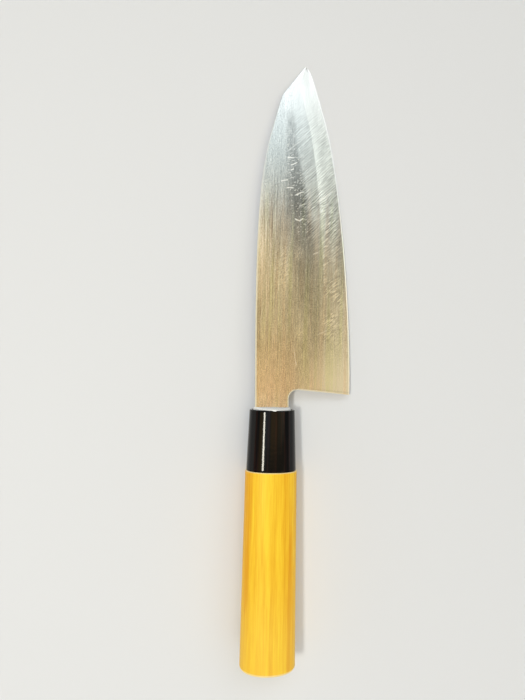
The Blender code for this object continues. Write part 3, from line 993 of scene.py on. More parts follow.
@dataclass(frozen=True)
class WaxedWood(Finish):
    """Pale yellow wood, sanded and waxed, with its grain along the handle."""

    title: ClassVar[str] = "waxed wood"
    pale: Colour = (0.94, 0.66, 0.040)
    middle: Colour = (0.90, 0.53, 0.026)
    deep: Colour = (0.80, 0.37, 0.010)
    tone_stops: tuple[float, float, float] = (0.0, 0.45, 1.0)
    faded: Colour = (0.94, 0.66, 0.12)
    fading: Fade = Fade(-70.0, -112.0, 0.22)
    # The paler rims: partly worn end grain, partly a painted highlight.
    worn_and_highlit_rim_colour: Colour = (0.96, 0.84, 0.50)
    rim_share: float = 0.65
    front_x: float = -29.3
    front_rim: Fade = Fade(-0.55, -0.15)
    butt_x: float = -123.5
    butt_rim: Fade = Fade(1.6, 0.9)

    # The year rings, the fibres, the veins and the pores.
    pith: tuple[float, float] = (-5.0, -46.0)
    ring_width: float = 2.6
    ring_drift: float = 5.0
    late_rise: Fade = Fade(0.35, 0.92)
    late_fall: Fade = Fade(1.0, 0.94)
    drift: Layer = Layer(0.011, 0.06)
    fibre: Layer = Layer(0.04, 1.6, 3, 0.65)
    fibre_sharp: Fade = Fade(0.26, 0.74)
    veins: tuple[tuple[Layer, float], ...] = (
        (Layer(0.010, 0.45), 0.55),
        (Layer(0.22, 1.6, 1), 0.22),
        (Layer(0.02, 0.95, 0), 0.40),
    )
    pore: Layer = Layer(0.22, 7.5)
    pore_rim: Fade = Fade(0.66, 0.76)

    # How deep the wood's colour is, and what each part adds to that; the sides are painted deeper as
    # shade.
    tone: float = 0.34
    crown_y: float = 1.5
    painted_side_shade: Fade = Fade(4.0, 14.0, 0.22)
    streak_wander: float = 2.6
    late_weight: float = 0.12
    fibre_weight: float = 0.55
    pore_share: float = 0.30

    # How rough it is.
    roughness: float = 0.39
    fibre_roughness: float = 0.10
    pore_roughness: float = 0.10
    rim_roughness: float = 0.12
    pore_sink: float = 0.6
    fibre_depth: float = 0.03
    ior: float = 1.28
    # The first streak, paler beside the crown, is a painted highlight; the second and the fifth,
    # deeper along the two sides, are painted shade; the others are the wood's own.
    grain_and_light_streaks: tuple[Streak, ...] = (
        Streak(2.9, 2.8, -20.0, -66.0, -0.42),
        Streak(11.6, 1.9, -24.0, -92.0, 0.40),
        Streak(-0.6, 1.3, -52.0, -130.0, 0.22),
        Streak(-2.6, 0.9, -96.0, -125.0, 0.20),
        Streak(-9.1, 1.8, -60.0, -125.0, 0.40),
        Streak(-6.4, 0.8, -40.0, -100.0, 0.10),
        Streak(6.6, 1.2, -40.0, -120.0, 0.10),
    )

    def paint(self, graph: ShaderGraph) -> None:
        """Draws the finish.

        Args:
            graph: the material's graph.
        """
        place = x, y, z = graph.place()
        drift = self.drift.solid(graph, *place)
        fibre = self.fibre_sharp.at(graph, self.fibre.solid(graph, *place))
        pores = self.pore_rim.at(graph, self.pore.solid(graph, *place))
        # The sides are painted deeper as shade.
        tone: Operand = self.painted_side_shade.at(graph, abs(y - self.crown_y))
        for streak in self.grain_and_light_streaks:
            tone = streak.draw(graph, x, y + (drift - MIDDLE) * self.streak_wander) + tone
        tone = tone + self._late(graph, y, z, drift) * self.late_weight + self.tone
        tone = tone + (fibre - MIDDLE) * self.fibre_weight
        for layer, weight in self.veins:
            tone = tone + (layer.solid(graph, *place) - MIDDLE) * weight
        base = graph.ramp(tone, list(zip(self.tone_stops, (self.pale, self.middle, self.deep))))
        base = graph.blend(pores * self.pore_share, base, self.deep)
        base = graph.blend(self.fading.at(graph, x), base, self.faded)
        # The rims are painted paler: worn end grain and a painted highlight.
        rim = self.front_rim.at(graph, x - self.front_x)
        rim = rim.most(self.butt_rim.at(graph, x - self.butt_x))
        base = graph.blend(rim * self.rim_share, base, self.worn_and_highlit_rim_colour)
        roughness = fibre * self.fibre_roughness + pores * self.pore_roughness
        roughness = roughness + rim * self.rim_roughness + self.roughness
        normal = graph.bump(fibre - pores * self.pore_sink, self.fibre_depth)
        graph.surface(Base_Color=base, Roughness=roughness, IOR=self.ior, Normal=normal)

    def _late(self, graph: ShaderGraph, y: Signal, z: Signal, drift: Signal) -> Signal:
        """Draws the darker wood that ends each year's ring.

        Args:
            graph: the material's graph.
            y: the place across the handle.
            z: the place up through it.
            drift: noise that bends the rings.

        Returns:
            How much of the darker wood there is.
        """
        off_y, off_z = y - self.pith[0], z - self.pith[1]
        radius = (off_y * off_y + off_z * off_z) ** 0.5
        ring = graph.maths("FRACT", (radius + drift * self.ring_drift) / self.ring_width)
        return self.late_rise.at(graph, ring) * self.late_fall.at(graph, ring)


@dataclass(frozen=True)
class WhiteSeal(Finish):
    """A cured white bead, stained here and there, with painted shade in the pit in its front."""

    title: ClassVar[str] = "white seal"
    colour: Colour = (0.86, 0.87, 0.86)
    stain_and_shade_colour: Colour = (0.34, 0.31, 0.27)
    dent_shade: str = "dent_shade"
    blotch: Layer = Layer(0.9, 0.9, 3)
    stain: Fade = Fade(0.60, 0.80, 0.18)
    roughness: float = 0.32
    blotch_roughness: float = 0.2
    blotch_depth: float = 0.05

    def paint(self, graph: ShaderGraph) -> None:
        """Draws the finish.

        Args:
            graph: the material's graph.
        """
        blotch = self.blotch.solid(graph, *graph.place())
        # Stains, and the painted shade in the pit.
        stain_and_shade = (graph.attribute(self.dent_shade) + self.stain.at(graph, blotch)).least(1.0)
        base = graph.blend(stain_and_shade, self.colour, self.stain_and_shade_colour)
        roughness = blotch * self.blotch_roughness + self.roughness
        normal = graph.bump(blotch, self.blotch_depth)
        graph.surface(Base_Color=base, Roughness=roughness, Normal=normal)


@dataclass(frozen=True)
class AmberResin(Finish):
    """Cured resin with small bubbles."""

    title: ClassVar[str] = "amber resin"
    colour: Colour = (0.60, 0.42, 0.18)
    bubble_colour: Colour = (0.78, 0.66, 0.42)
    bubble: Layer = Layer(2.2, 2.2, 1)
    bubble_rim: Fade = Fade(0.62, 0.70)
    bubble_depth: float = 0.04
    roughness: float = 0.35

    def paint(self, graph: ShaderGraph) -> None:
        """Draws the finish.

        Args:
            graph: the material's graph.
        """
        bubbles = self.bubble_rim.at(graph, self.bubble.solid(graph, *graph.place()))
        base = graph.blend(bubbles, self.colour, self.bubble_colour)
        normal = graph.bump(bubbles, self.bubble_depth)
        graph.surface(Base_Color=base, Roughness=self.roughness, Normal=normal)


@dataclass(frozen=True)
class KnifePose:
    """Where the straight knife lies in the frame."""

    matrix: Matrix

    @classmethod
    def from_record(cls, record: dict[str, Any], butt_x: float) -> "KnifePose":
        """Works the pose out from the mounts.

        Args:
            record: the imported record.
            butt_x: the butt's place in the knife's axes, in millimetres.

        Returns:
            The pose.
        """
        mounts = {mount["name"]: mount for mount in record["mounts"]}
        ahead = -Vector(mounts["butt_end"]["axis"]).normalized()
        right, left = (Vector(mounts[f"blade_{side}_face"]["axis"]) for side in ("right", "left"))
        out = (right - left).normalized()
        across = out.cross(ahead).normalized()
        origin = Vector(mounts["butt_end"]["pos_m"]) - ahead * butt_x * MM
        turn = Matrix((ahead, across, ahead.cross(across))).transposed()
        return cls(Matrix.Translation(origin) @ turn.to_4x4())


class MeshKit:
    """Collects points and faces in millimetres and turns them into a mesh.

    Edges past the angle called sharp, in degrees, stay sharp.
    """

    sharp: ClassVar[float] = 40.0

    def __init__(self) -> None:
        """Starts an empty mesh."""
        self.data = bmesh.new()

    def row(self, points: Sequence[Sequence[float]]) -> list[bmesh.types.BMVert]:
        """Adds a row of points."""
        return [self.data.verts.new(tuple(point)) for point in points]

    def strip(self, first: list, second: list, closed: bool = False) -> list[bmesh.types.BMFace]:
        """Joins two rows of as many points with quads, or triangles where a point is shared.

        Args:
            first: one row.
            second: the row beside it.
            closed: whether the rows run round.

        Returns:
            The faces.
        """
        count = len(first)
        faces = []
        for i in range(count if closed else count - 1):
            j = (i + 1) % count
            corners = list(dict.fromkeys((first[i], first[j], second[j], second[i])))
            if len(corners) > 2:
                faces.append(self.data.faces.new(corners))
        return faces

    def hoops(self, rings: Sequence[np.ndarray], closed: bool = False) -> list[list]:
        """Joins rings one to the next.

        Args:
            rings: the rings' points.
            closed: whether the last joins the first.

        Returns:
            The rows of points.
        """
        rows = [self.row(ring) for ring in rings]
        for near, far in zip(rows, [*rows[1:], rows[0]] if closed else rows[1:]):
            self.strip(near, far, closed=True)
        return rows

    def fan(self, row: list, hub: bmesh.types.BMVert) -> None:
        """Joins an open row to one point with triangles."""
        for first, second in zip(row, row[1:]):
            self.data.faces.new((first, second, hub))

    def lid(self, ring: list, middle: Optional[Sequence[float]] = None) -> None:
        """Closes a ring with one face, or with triangles to a middle point.

        Args:
            ring: the ring's points.
            middle: where the middle point goes.
        """
        if middle is None:
            self.data.faces.new(ring)
            return
        hub = self.data.verts.new(tuple(middle))
        for first, second in zip(ring, [*ring[1:], ring[0]]):
            self.data.faces.new((first, second, hub))

    def mesh(self, name: str, pose: KnifePose) -> bpy.types.Mesh:
        """Turns what was collected into a mesh, in place.

        Args:
            name: the mesh's name.
            pose: where the knife lies.

        Returns:
            The mesh.
        """
        bmesh.ops.recalc_face_normals(self.data, faces=self.data.faces)
        self.data.normal_update()
        for edge in self.data.edges:
            if len(edge.link_faces) == 2 and edge.calc_face_angle(0.0) > math.radians(self.sharp):
                edge.smooth = False
        for face in self.data.faces:
            face.smooth = True
        self.data.transform(pose.matrix @ Matrix.Scale(MM, 4))
        mesh = bpy.data.meshes.new(name)
        self.data.to_mesh(mesh)
        self.data.free()
        return mesh


class Piece(ABC):
    """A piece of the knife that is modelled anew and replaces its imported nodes."""

    name: ClassVar[str]
    slot: ClassVar[Slot]
    nodes: ClassVar[tuple[str, ...]]
    finish: Finish

    @abstractmethod
    def shape(self, kit: MeshKit) -> None:
        """Models the piece in the knife's axes.

        Args:
            kit: the mesh.
        """

    def build(self, pose: KnifePose) -> bpy.types.Object:
        """Builds the piece, in place, riding on the knife.

        Args:
            pose: where the knife lies.

        Returns:
            The piece.
        """
        kit = MeshKit()
        self.shape(kit)
        mesh = kit.mesh(self.name, pose)
        mesh.materials.append(self.finish.material(pose.matrix))
        item = bpy.data.objects.new(self.name, mesh)
        bpy.context.scene.collection.objects.link(item)
        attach(item, BODY)
        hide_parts(*self.nodes)
        LOG.info("%s: %d faces", self.name, len(mesh.polygons))
        return item


def oval_ring(
    x: float, width: float, thickness: float, power: float, count: int, finer: int = 16
) -> np.ndarray:
    """Gives points spaced evenly round a superellipse that stands square to X.

    Args:
        x: its place along the knife.
        width: its size along Y.
        thickness: its size along Z.
        power: 2 for an ellipse, and more for a squarer oval.
        count: the number of points.
        finer: how many times finer the curve is that they are spaced along.

    Returns:
        The points, from +Y round by +Z.
    """
    angles = np.linspace(0.0, 2 * math.pi, finer * count + 1)
    cos, sin = np.cos(angles), np.sin(angles)
    reach = (np.abs(2 * cos / width) ** power + np.abs(2 * sin / thickness) ** power) ** (-1 / power)
    flat = np.stack((reach * cos, reach * sin), 1)
    steps = np.hypot(*np.diff(flat, axis=0).T)
    travel = np.concatenate(([0.0], np.cumsum(steps)))
    even = np.linspace(0.0, travel[-1], count, endpoint=False)
    y = np.interp(even, travel, flat[:, 0])
    z = np.interp(even, travel, flat[:, 1])
    return np.stack((np.full(count, x), y, z), 1)


def ease(share: float) -> float:
    """Rises smoothly from 0 to 1 as the share does."""
    share = min(max(share, 0.0), 1.0)
    return share * share * (3 - 2 * share)


def round_over(radius: float, count: int) -> list[tuple[float, float]]:
    """Gives the steps of a rounded rim, from the side over to the end face.

    Args:
        radius: the rim's radius.
        count: the number of steps.

    Returns:
        The distance short of the end face, and the inset off the side, at each step.
    """
    turns = [math.pi / 2 * i / count for i in range(count + 1)]
    return [(radius * (1 - math.sin(turn)), radius * (1 - math.cos(turn))) for turn in turns]


@dataclass
class Taper:
    """An oval that widens evenly along X."""

    front_x: float
    back_x: float
    front: tuple[float, float]
    back: tuple[float, float]
    power: float = 2.15

    def size(self, x: float, inset: float = 0.0) -> tuple[float, float]:
        """Gives the width and thickness at x, with an inset off every side."""
        share = (x - self.back_x) / (self.front_x - self.back_x)
        width, thickness = (b + (f - b) * share for b, f in zip(self.back, self.front))
        return width - 2 * inset, thickness - 2 * inset

    def ring(self, x: float, count: int, inset: float = 0.0) -> np.ndarray:
        """Gives a ring of points at x."""
        return oval_ring(x, *self.size(x, inset), self.power, count)


class Level(IntEnum):
    """The lines along the blade that part its ground faces."""

    SPINE = 0
    BEVEL = 1
    HONED = 2
    EDGE = 3


@dataclass
class Blade(Piece):
    """The blade with its neck and tang, ground flat, bevelled and honed."""

    name: ClassVar[str] = "blade_steel"
    slot: ClassVar[Slot] = Slot.STEEL
    nodes: ClassVar[tuple[str, ...]] = ("blade",)

    # The outline: the neck, the spine with its clip, the belly of the edge, and the heel.
    edge_length: float = 165.3
    neck_length: float = 7.7
    neck_width: float = 16.6
    neck_rise: float = 0.3
    heel_depth: float = 38.9
    tip_drop: float = 13.5
    spine_slope: float = math.radians(1.2)
    spine_neck_pull: float = 110.0
    spine_tip_slope: float = math.radians(-17.8)
    spine_tip_pull: float = 34.0
    clip_length: float = 15.4
    clip_drop: float = 11.3
    belly_end: float = 26.3
    belly_rise: float = 14.9
    belly_heel_pull: float = 50.0
    belly_slope: float = math.radians(17.1)
    belly_tip_pull: float = 27.3
    point_pull: float = 20.0
    point_slope: float = math.radians(86)
    point_round: float = 2.5
    heel_lean: float = math.radians(4.6)
    notch_radius: float = 4.3

    # The section: how thick the steel is, and how it is ground.
    neck_thickness: float = 3.0
    tip_taper: float = 0.0045
    edge_taper: float = 0.016
    bevel_heel: float = 14.3
    bevel_tip: float = 8.3
    tip_land_share: float = 0.3
    bevel_crown: float = 0.22
    honed_height: float = 0.6
    honed_half: float = 0.11
    honed_share: float = 0.3

    # The bright rims, which run out where the steel gets thin.
    rim_chamfer: float = 0.6
    rim_full_half: float = 0.9
    rim_fade: float = 14.0
    rim_steps: int = 1

    # The tang.
    shoulder_x: float = -3.0
    tang_length: float = 92.0
    tang: tuple[float, float] = (11.0, 2.3)
    tang_end: tuple[float, float] = (5.0, 1.4)

    # How finely each part is modelled, and how the first columns lean.
    rows_neck: int = 16
    rows_face: int = 9
    rows_bevel: int = 10
    rows_honed: int = 2
    rail_steps: int = 400
    point_steps: int = 300
    fillet_steps: int = 20
    tang_gaps: int = 12
    neck_columns: int = 12
    body_columns: int = 150
    point_columns: int = 44
    point_crowding: float = 1.6
    settling_rounds: int = 6
    spine_top_x: float = 14.0
    skew_length: float = 15.0
    edge_reach: float = 0.5
    weld: float = 1e-4
    mirror_weld: float = 1e-5

    finish: SatinSteel = field(default_factory=SatinSteel)
    rim_finish: BrightRim = field(default_factory=BrightRim)

    def __post_init__(self) -> None:
        """Draws the rails along the spine and the edge."""
        self.tip = Vector((self.neck_length + self.edge_length, -self.tip_drop, 0))
        self.spine_y = self.neck_rise + self.neck_width / 2
        self.neck_low_y = self.neck_rise - self.neck_width / 2
        self.spine_rail = self._draw_spine()
        self.edge_rail = self._draw_edge()

    def _draw_spine(self) -> np.ndarray:
        """Draws the spine: a long crowned curve, then the straight clip to the tip."""
        start = Vector((0, self.spine_y, 0))
        clip = self.tip + Vector((-self.clip_length, self.clip_drop, 0))
        ahead = Vector((math.cos(self.spine_slope), math.sin(self.spine_slope), 0))
        behind = Vector((math.cos(self.spine_tip_slope), math.sin(self.spine_tip_slope), 0))
        pulls = start + ahead * self.spine_neck_pull, clip - behind * self.spine_tip_pull
        curve = interpolate_bezier(start, *pulls, clip, self.rail_steps)
        back = start - ahead * 2 * abs(self.shoulder_x)
        return np.array([back, *curve, self.tip])[:, :2]

    def _draw_edge(self) -> np.ndarray:
        """Draws the edge: nearly straight from the heel, then the belly and the rounded point."""
        heel = Vector((self.neck_length, -self.heel_depth, 0))
        join = Vector((self.tip.x - self.belly_end, self.belly_rise - self.heel_depth, 0))
        slope = Vector((math.cos(self.belly_slope), math.sin(self.belly_slope), 0))
        end = Vector((math.cos(self.point_slope), math.sin(self.point_slope), 0))
        pulls = heel + Vector((self.belly_heel_pull, 0, 0)), join - slope * self.belly_tip_pull
        belly = interpolate_bezier(heel, *pulls, join, self.rail_steps)
        pulls = join + slope * self.point_pull, self.tip - end * self.point_round
        point = interpolate_bezier(join, *pulls, self.tip, self.point_steps)
        return np.array([heel - Vector((self.neck_length, 0, 0)), *belly, *point[1:]])[:, :2]

    def flat_half(self, x: float, y: float) -> float:
        """Gives half the thickness where the flat-ground face stands at (x, y)."""
        return self.neck_thickness / 2 - self.tip_taper * x - self.edge_taper * (self.spine_y - y)

    def levels(self, x: float) -> tuple[float, float, float, float]:
        """Gives the heights of the lines along the blade.

        Args:
            x: the place along it.

        Returns:
            The heights of the spine, the bevel's line, the honed line and the edge.
        """
        spine = float(np.interp(x, *self.spine_rail.T))
        edge = float(np.interp(x, *self.edge_rail.T))
        along = (x - self.neck_length) / self.edge_length
        bevel = self.bevel_heel + (self.bevel_tip - self.bevel_heel) * along
        bevel = min(bevel, (spine - edge) * (1 - self.tip_land_share))
        return spine, edge + bevel, edge + min(self.honed_height, bevel * self.honed_share), edge

    def half(self, x: float, y: float) -> float:
        """Gives half the thickness anywhere on the blade.

        Args:
            x: the place along the blade.
            y: the place across it.

        Returns:
            The half thickness.
        """
        _, bevel, honed, edge = self.levels(x)
        if y >= bevel or x < self.neck_length:
            return self.flat_half(x, y)
        honed_half = self.honed_half * (honed - edge) / self.honed_height
        if y <= honed:
            return honed_half * max(y - edge, 0.0) / (honed - edge)
        share = (bevel - y) / (bevel - honed)
        crown = self.bevel_crown * share * (1 - share)
        bevel_half = self.flat_half(x, bevel)
        return bevel_half + (honed_half - bevel_half) * (share - crown)

    def notch(self) -> tuple[Vector, list[Vector]]:
        """Gives the fillet's centre and the points along it, from the neck to the heel line."""
        top_x = self.neck_length + (self.heel_depth + self.neck_low_y) * math.tan(self.heel_lean)
        radius = self.notch_radius
        centre = Vector((
            top_x - radius * (1 + math.sin(self.heel_lean)) / math.cos(self.heel_lean),
            self.neck_low_y - radius,
        ))
        turn = math.pi / 2 + self.heel_lean
        angles = [math.pi / 2 - turn * i / self.fillet_steps for i in range(self.fillet_steps + 1)]
        return centre, [centre + Vector((math.cos(a), math.sin(a))) * radius for a in angles]

    def column_x(self, start: float, y: float, corner: Vector) -> float:
        """Leans the first columns to the heel line.

        Args:
            start: the column's place along the blade.
            y: the height on it.
            corner: where the fillet meets the heel line.

        Returns:
            The place along the blade at that height.
        """
        if y < corner.y:
            lean = (y - corner.y) * math.tan(self.heel_lean)
        else:
            lean = (self.spine_top_x - corner.x) * (y - corner.y) / (self.spine_y - corner.y)
        return start + lean * (1 - ease((start - corner.x) / self.skew_length))

    def face_column(self, start: float, corner: Vector) -> list[Point]:
        """Gives one column of the right face, from the spine down to the edge.

        Args:
            start: the column's place along the blade.
            corner: where the fillet meets the heel line.

        Returns:
            The points.
        """
        corner_share = (self.spine_y - corner.y) / (self.spine_y + self.heel_depth - self.bevel_heel)
        points = []
        parts = [
            (self.rows_neck, 0.0, corner_share, Level.SPINE),
            (self.rows_face, corner_share, 1.0, Level.SPINE),
            (self.rows_bevel, 0.0, 1.0, Level.BEVEL),
            (self.rows_honed, 0.0, 1.0, Level.HONED),
        ]
        for count, low, high, upper in parts:
            for i in range(count):
                share = low + (high - low) * i / count
                points.append(self._settle(start, share, upper, corner))
        x, y, _ = self._settle(start, 1.0, Level.HONED, corner)
        points.append((x, y, 0.0))
        return points

    def _settle(self, start: float, share: float, upper: Level, corner: Vector) -> Point:
        """Finds a point of a leaning column, whose height and place follow from each other.

        Args:
            start: the column's place along the blade.
            share: how far down the point lies, from the line above it to the next.
            upper: the line above it.
            corner: where the fillet meets the heel line.

        Returns:
            The point.
        """
        x = start
        for _ in range(self.settling_rounds):
            levels = self.levels(x)
            y = levels[upper] + (levels[upper + 1] - levels[upper]) * share
            x = self.column_x(start, y, corner)
        return x, y, self.half(x, y)

    def build(self, pose: KnifePose) -> bpy.types.Object:
        """Builds the blade, which has a second finish on its rims.

        Args:
            pose: where the knife lies.

        Returns:
            The blade.
        """
        blade = super().build(pose)
        blade.data.materials.append(self.rim_finish.material(pose.matrix))
        return blade

    def shape(self, kit: MeshKit) -> None:
        """Models the right half, measures it up from the edge, and mirrors it.

        Args:
            kit: the mesh.
        """
        centre, fillet = self.notch()
        corner = fillet[-1]
        back = self._tang_columns() + self._neck_columns(centre, fillet)
        clip_x = self.tip.x - self.clip_length
        body = np.linspace(corner.x, clip_x, self.body_columns)
        shares = [1 - i / self.point_columns for i in range(1, self.point_columns)]
        point = [self.tip.x - self.clip_length * share ** self.point_crowding for share in shares]
        front = [self.face_column(x, corner) for x in [*body, *point]]
        for row in self._skin(kit, back, front, centre, corner):
            for first, second in zip(row, row[1:]):
                kit.data.edges.get((first, second)).smooth = False
        bmesh.ops.remove_doubles(kit.data, verts=kit.data.verts, dist=self.weld)
        above = kit.data.verts.layers.float.new(self.finish.above_edge)
        for vert in kit.data.verts:
            edge = np.interp(vert.co.x, *self.edge_rail.T)
            ground = vert.co.x >= self.neck_length - self.edge_reach
            vert[above] = vert.co.y - edge if ground else self.heel_depth
        geometry = [*kit.data.verts, *kit.data.edges, *kit.data.faces]
        bmesh.ops.mirror(kit.data, geom=geometry, axis="Z", merge_dist=self.mirror_weld)

    def _tang_columns(self) -> list[list[Point]]:
        """Gives the tang's columns, from its end to the shoulder."""
        columns = []
        for i in range(self.tang_gaps + 1):
            share = i / self.tang_gaps
            x = self.shoulder_x - self.tang_length * (1 - share)
            width, thickness = (e + (s - e) * share for e, s in zip(self.tang_end, self.tang))
            offs = [0.5 - j / self.rows_neck for j in range(self.rows_neck + 1)]
            columns.append([(x, width * off, thickness / 2) for off in offs])
        return columns

    def _neck_columns(self, centre: Vector, fillet: list[Vector]) -> list[list[Point]]:
        """Gives the neck's columns, from the shoulder to the last point of the fillet but one.

        Args:
            centre: the fillet's centre.
            fillet: the points along it.

        Returns:
            The columns.
        """
        straight = np.linspace(self.shoulder_x, centre.x, self.neck_columns)[:-1]
        lows = [Vector((x, self.neck_low_y)) for x in straight]
        tops = [low.x for low in lows]
        lows += fillet[:-1]
        steps = len(fillet) - 1
        tops += [centre.x + (self.spine_top_x - centre.x) * i / steps for i in range(steps)]
        columns = []
        for top_x, low in zip(tops, lows):
            top = Vector((top_x, float(np.interp(top_x, *self.spine_rail.T))))
            points = [top.lerp(low, j / self.rows_neck) for j in range(self.rows_neck + 1)]
            columns.append([(p.x, p.y, self.flat_half(p.x, p.y)) for p in points])
        return columns

    def _skin(
        self,
        kit: MeshKit,
        back: list[list[Point]],
        front: list[list[Point]],
        centre: Vector,
        corner: Vector,
    ) -> list[list]:
        """Joins the columns into the right half of the blade, open at its middle plane.

        Args:
            kit: the mesh.
            back: the columns of the tang and the neck.
            front: the columns from the heel line to the point.
            centre: the fillet's centre.
            corner: where the fillet meets the heel line.

        Returns:
            The rows of points that part one ground face from the next.
        """
        back_faces = [kit.row(column) for column in back]
        front_faces = [kit.row(column) for column in front]
        last = self.rows_neck
        heel = front_faces[0]
        for near, far in zip(back_faces, [*back_faces[1:], heel[:last + 1]]):
            kit.strip(near, far)
        for near, far in zip(front_faces, front_faces[1:]):
            kit.strip(near, far)
        tops = [column[0] for column in back_faces + front_faces]
        lows = [column[-1] for column in back_faces] + heel[last:-1]
        top_wall = kit.row([(p.co.x, p.co.y, 0) for p in tops])
        low_wall = kit.row([(p.co.x, p.co.y, 0) for p in lows]) + [heel[-1]]
        end_wall = kit.row([(p.co.x, p.co.y, 0) for p in back_faces[0][1:-1]])
        top_rim = self._round_rim(kit, tops, [], lambda place: Vector((0, -1, 0)))
        inward = partial(self._inward, centre=centre, corner=corner)
        low_rim = self._round_rim(kit, lows, [heel[-1]], inward)
        kit.strip(top_rim, top_wall)
        kit.strip(low_rim, low_wall)
        kit.strip(back_faces[0], [top_wall[0], *end_wall, low_wall[0]])
        tip = kit.data.verts.new(tuple(self.tip))
        kit.fan([top_wall[-1], top_rim[-1], *front_faces[-1]], tip)
        return [
            tops, [*lows, heel[-1]],
            [column[last + self.rows_face] for column in front_faces],
            [column[-1 - self.rows_honed] for column in front_faces],
        ]

    def _round_rim(
        self, kit: MeshKit, row: list, end: list, inward: Callable[[Vector], Vector]
    ) -> list:
        """Rounds a rim over from the face to the wall, less where the steel is thin.

        Args:
            kit: the mesh.
            row: the face's points along the rim, which move in by the rounding.
            end: the point where the rim runs out, if it does.
            inward: gives the way in along the face, at a place on the rim.

        Returns:
            The wall's points along the rim.
        """
        rims = [(vert.co.copy(), inward(vert.co), self._rim_reach(vert.co)) for vert in row]
        for vert, (place, way, reach) in zip(row, rims):
            vert.co = place + way * reach
            if reach > 0:
                vert.co.z = self.half(vert.co.x, vert.co.y)
        near = [*row, *end]
        for i in range(1, self.rim_steps + 1):
            turn = math.pi / 2 * i / self.rim_steps
            inset, drop = 1 - math.sin(turn), Vector((0, 0, math.cos(turn) - 1))
            points = [place + (way * inset + drop) * reach for place, way, reach in rims]
            far = [*kit.row(points), *end]
            for face in kit.strip(near, far):
                face.material_index = 1
            near = far
        return near

    def _rim_reach(self, place: Vector) -> float:
        """Gives how far the rounding reaches at a place on the rim."""
        if place.x < self.shoulder_x - ROUND_OFF:
            return 0.0
        fade = min(1.0, max(0.0, (self.tip.x - self.clip_length - place.x) / self.rim_fade))
        return self.rim_chamfer * min(1.0, place.z / self.rim_full_half) * fade

    def _inward(self, place: Vector, centre: Vector, corner: Vector) -> Vector:
        """Gives the way in from the lower rim: off the neck, the fillet or the heel line.

        Args:
            place: a place on the rim.
            centre: the fillet's centre.
            corner: where the fillet meets the heel line.

        Returns:
            The direction.
        """
        if place.x < centre.x:
            return Vector((0, 1, 0))
        if place.y > corner.y + ROUND_OFF:
            return Vector((place.x - centre.x, place.y - centre.y, 0)).normalized()
        return Vector((math.cos(self.heel_lean), -math.sin(self.heel_lean), 0))


@dataclass
class Ferrule(Piece):
    """The black oval sleeve between the blade and the wood."""

    name: ClassVar[str] = "ferrule_sleeve"
    slot: ClassVar[Slot] = Slot.BLACK
    nodes: ClassVar[tuple[str, ...]] = ("ferrule",)

    # Its sizes. Front and back are its width and thickness at either end.
    length: float = 29.0
    front: tuple[float, float] = (22.2, 16.9)
    back: tuple[float, float] = (24.3, 18.3)
    wall: float = 1.1
    front_round: float = 0.35
    back_round: float = 0.15
    seat: float = 0.28

    # How finely it is modelled.
    sides: int = 192
    back_steps: int = 4
    front_steps: int = 6
    side_rings: int = 14
    margin: float = 1.0
    mouth_depth: float = 0.4

    finish: PolishedBlack = field(default_factory=PolishedBlack)

    def __post_init__(self) -> None:
        """Works out the sleeve's taper."""
        self.taper = Taper(0.0, -self.length, self.front, self.back)

    def shape(self, kit: MeshKit) -> None:
        """Models the sleeve: its outside from back to front, then its bore.

        Args:
            kit: the mesh.
        """
        back_x = -self.length - self.seat
        back = reversed(round_over(self.back_round, self.back_steps))
        side = np.linspace(back_x + self.margin, -self.margin, self.side_rings)
        front = round_over(self.front_round, self.front_steps)
        stops = [(back_x + short, inset) for short, inset in back]
        stops += [(x, 0.0) for x in side]
        stops += [(-short, inset) for short, inset in front]
        stops += [(x, self.wall) for x in (0.0, -self.mouth_depth, -self.length / 2, back_x)]
        kit.hoops([self.taper.ring(x, self.sides, inset) for x, inset in stops], closed=True)


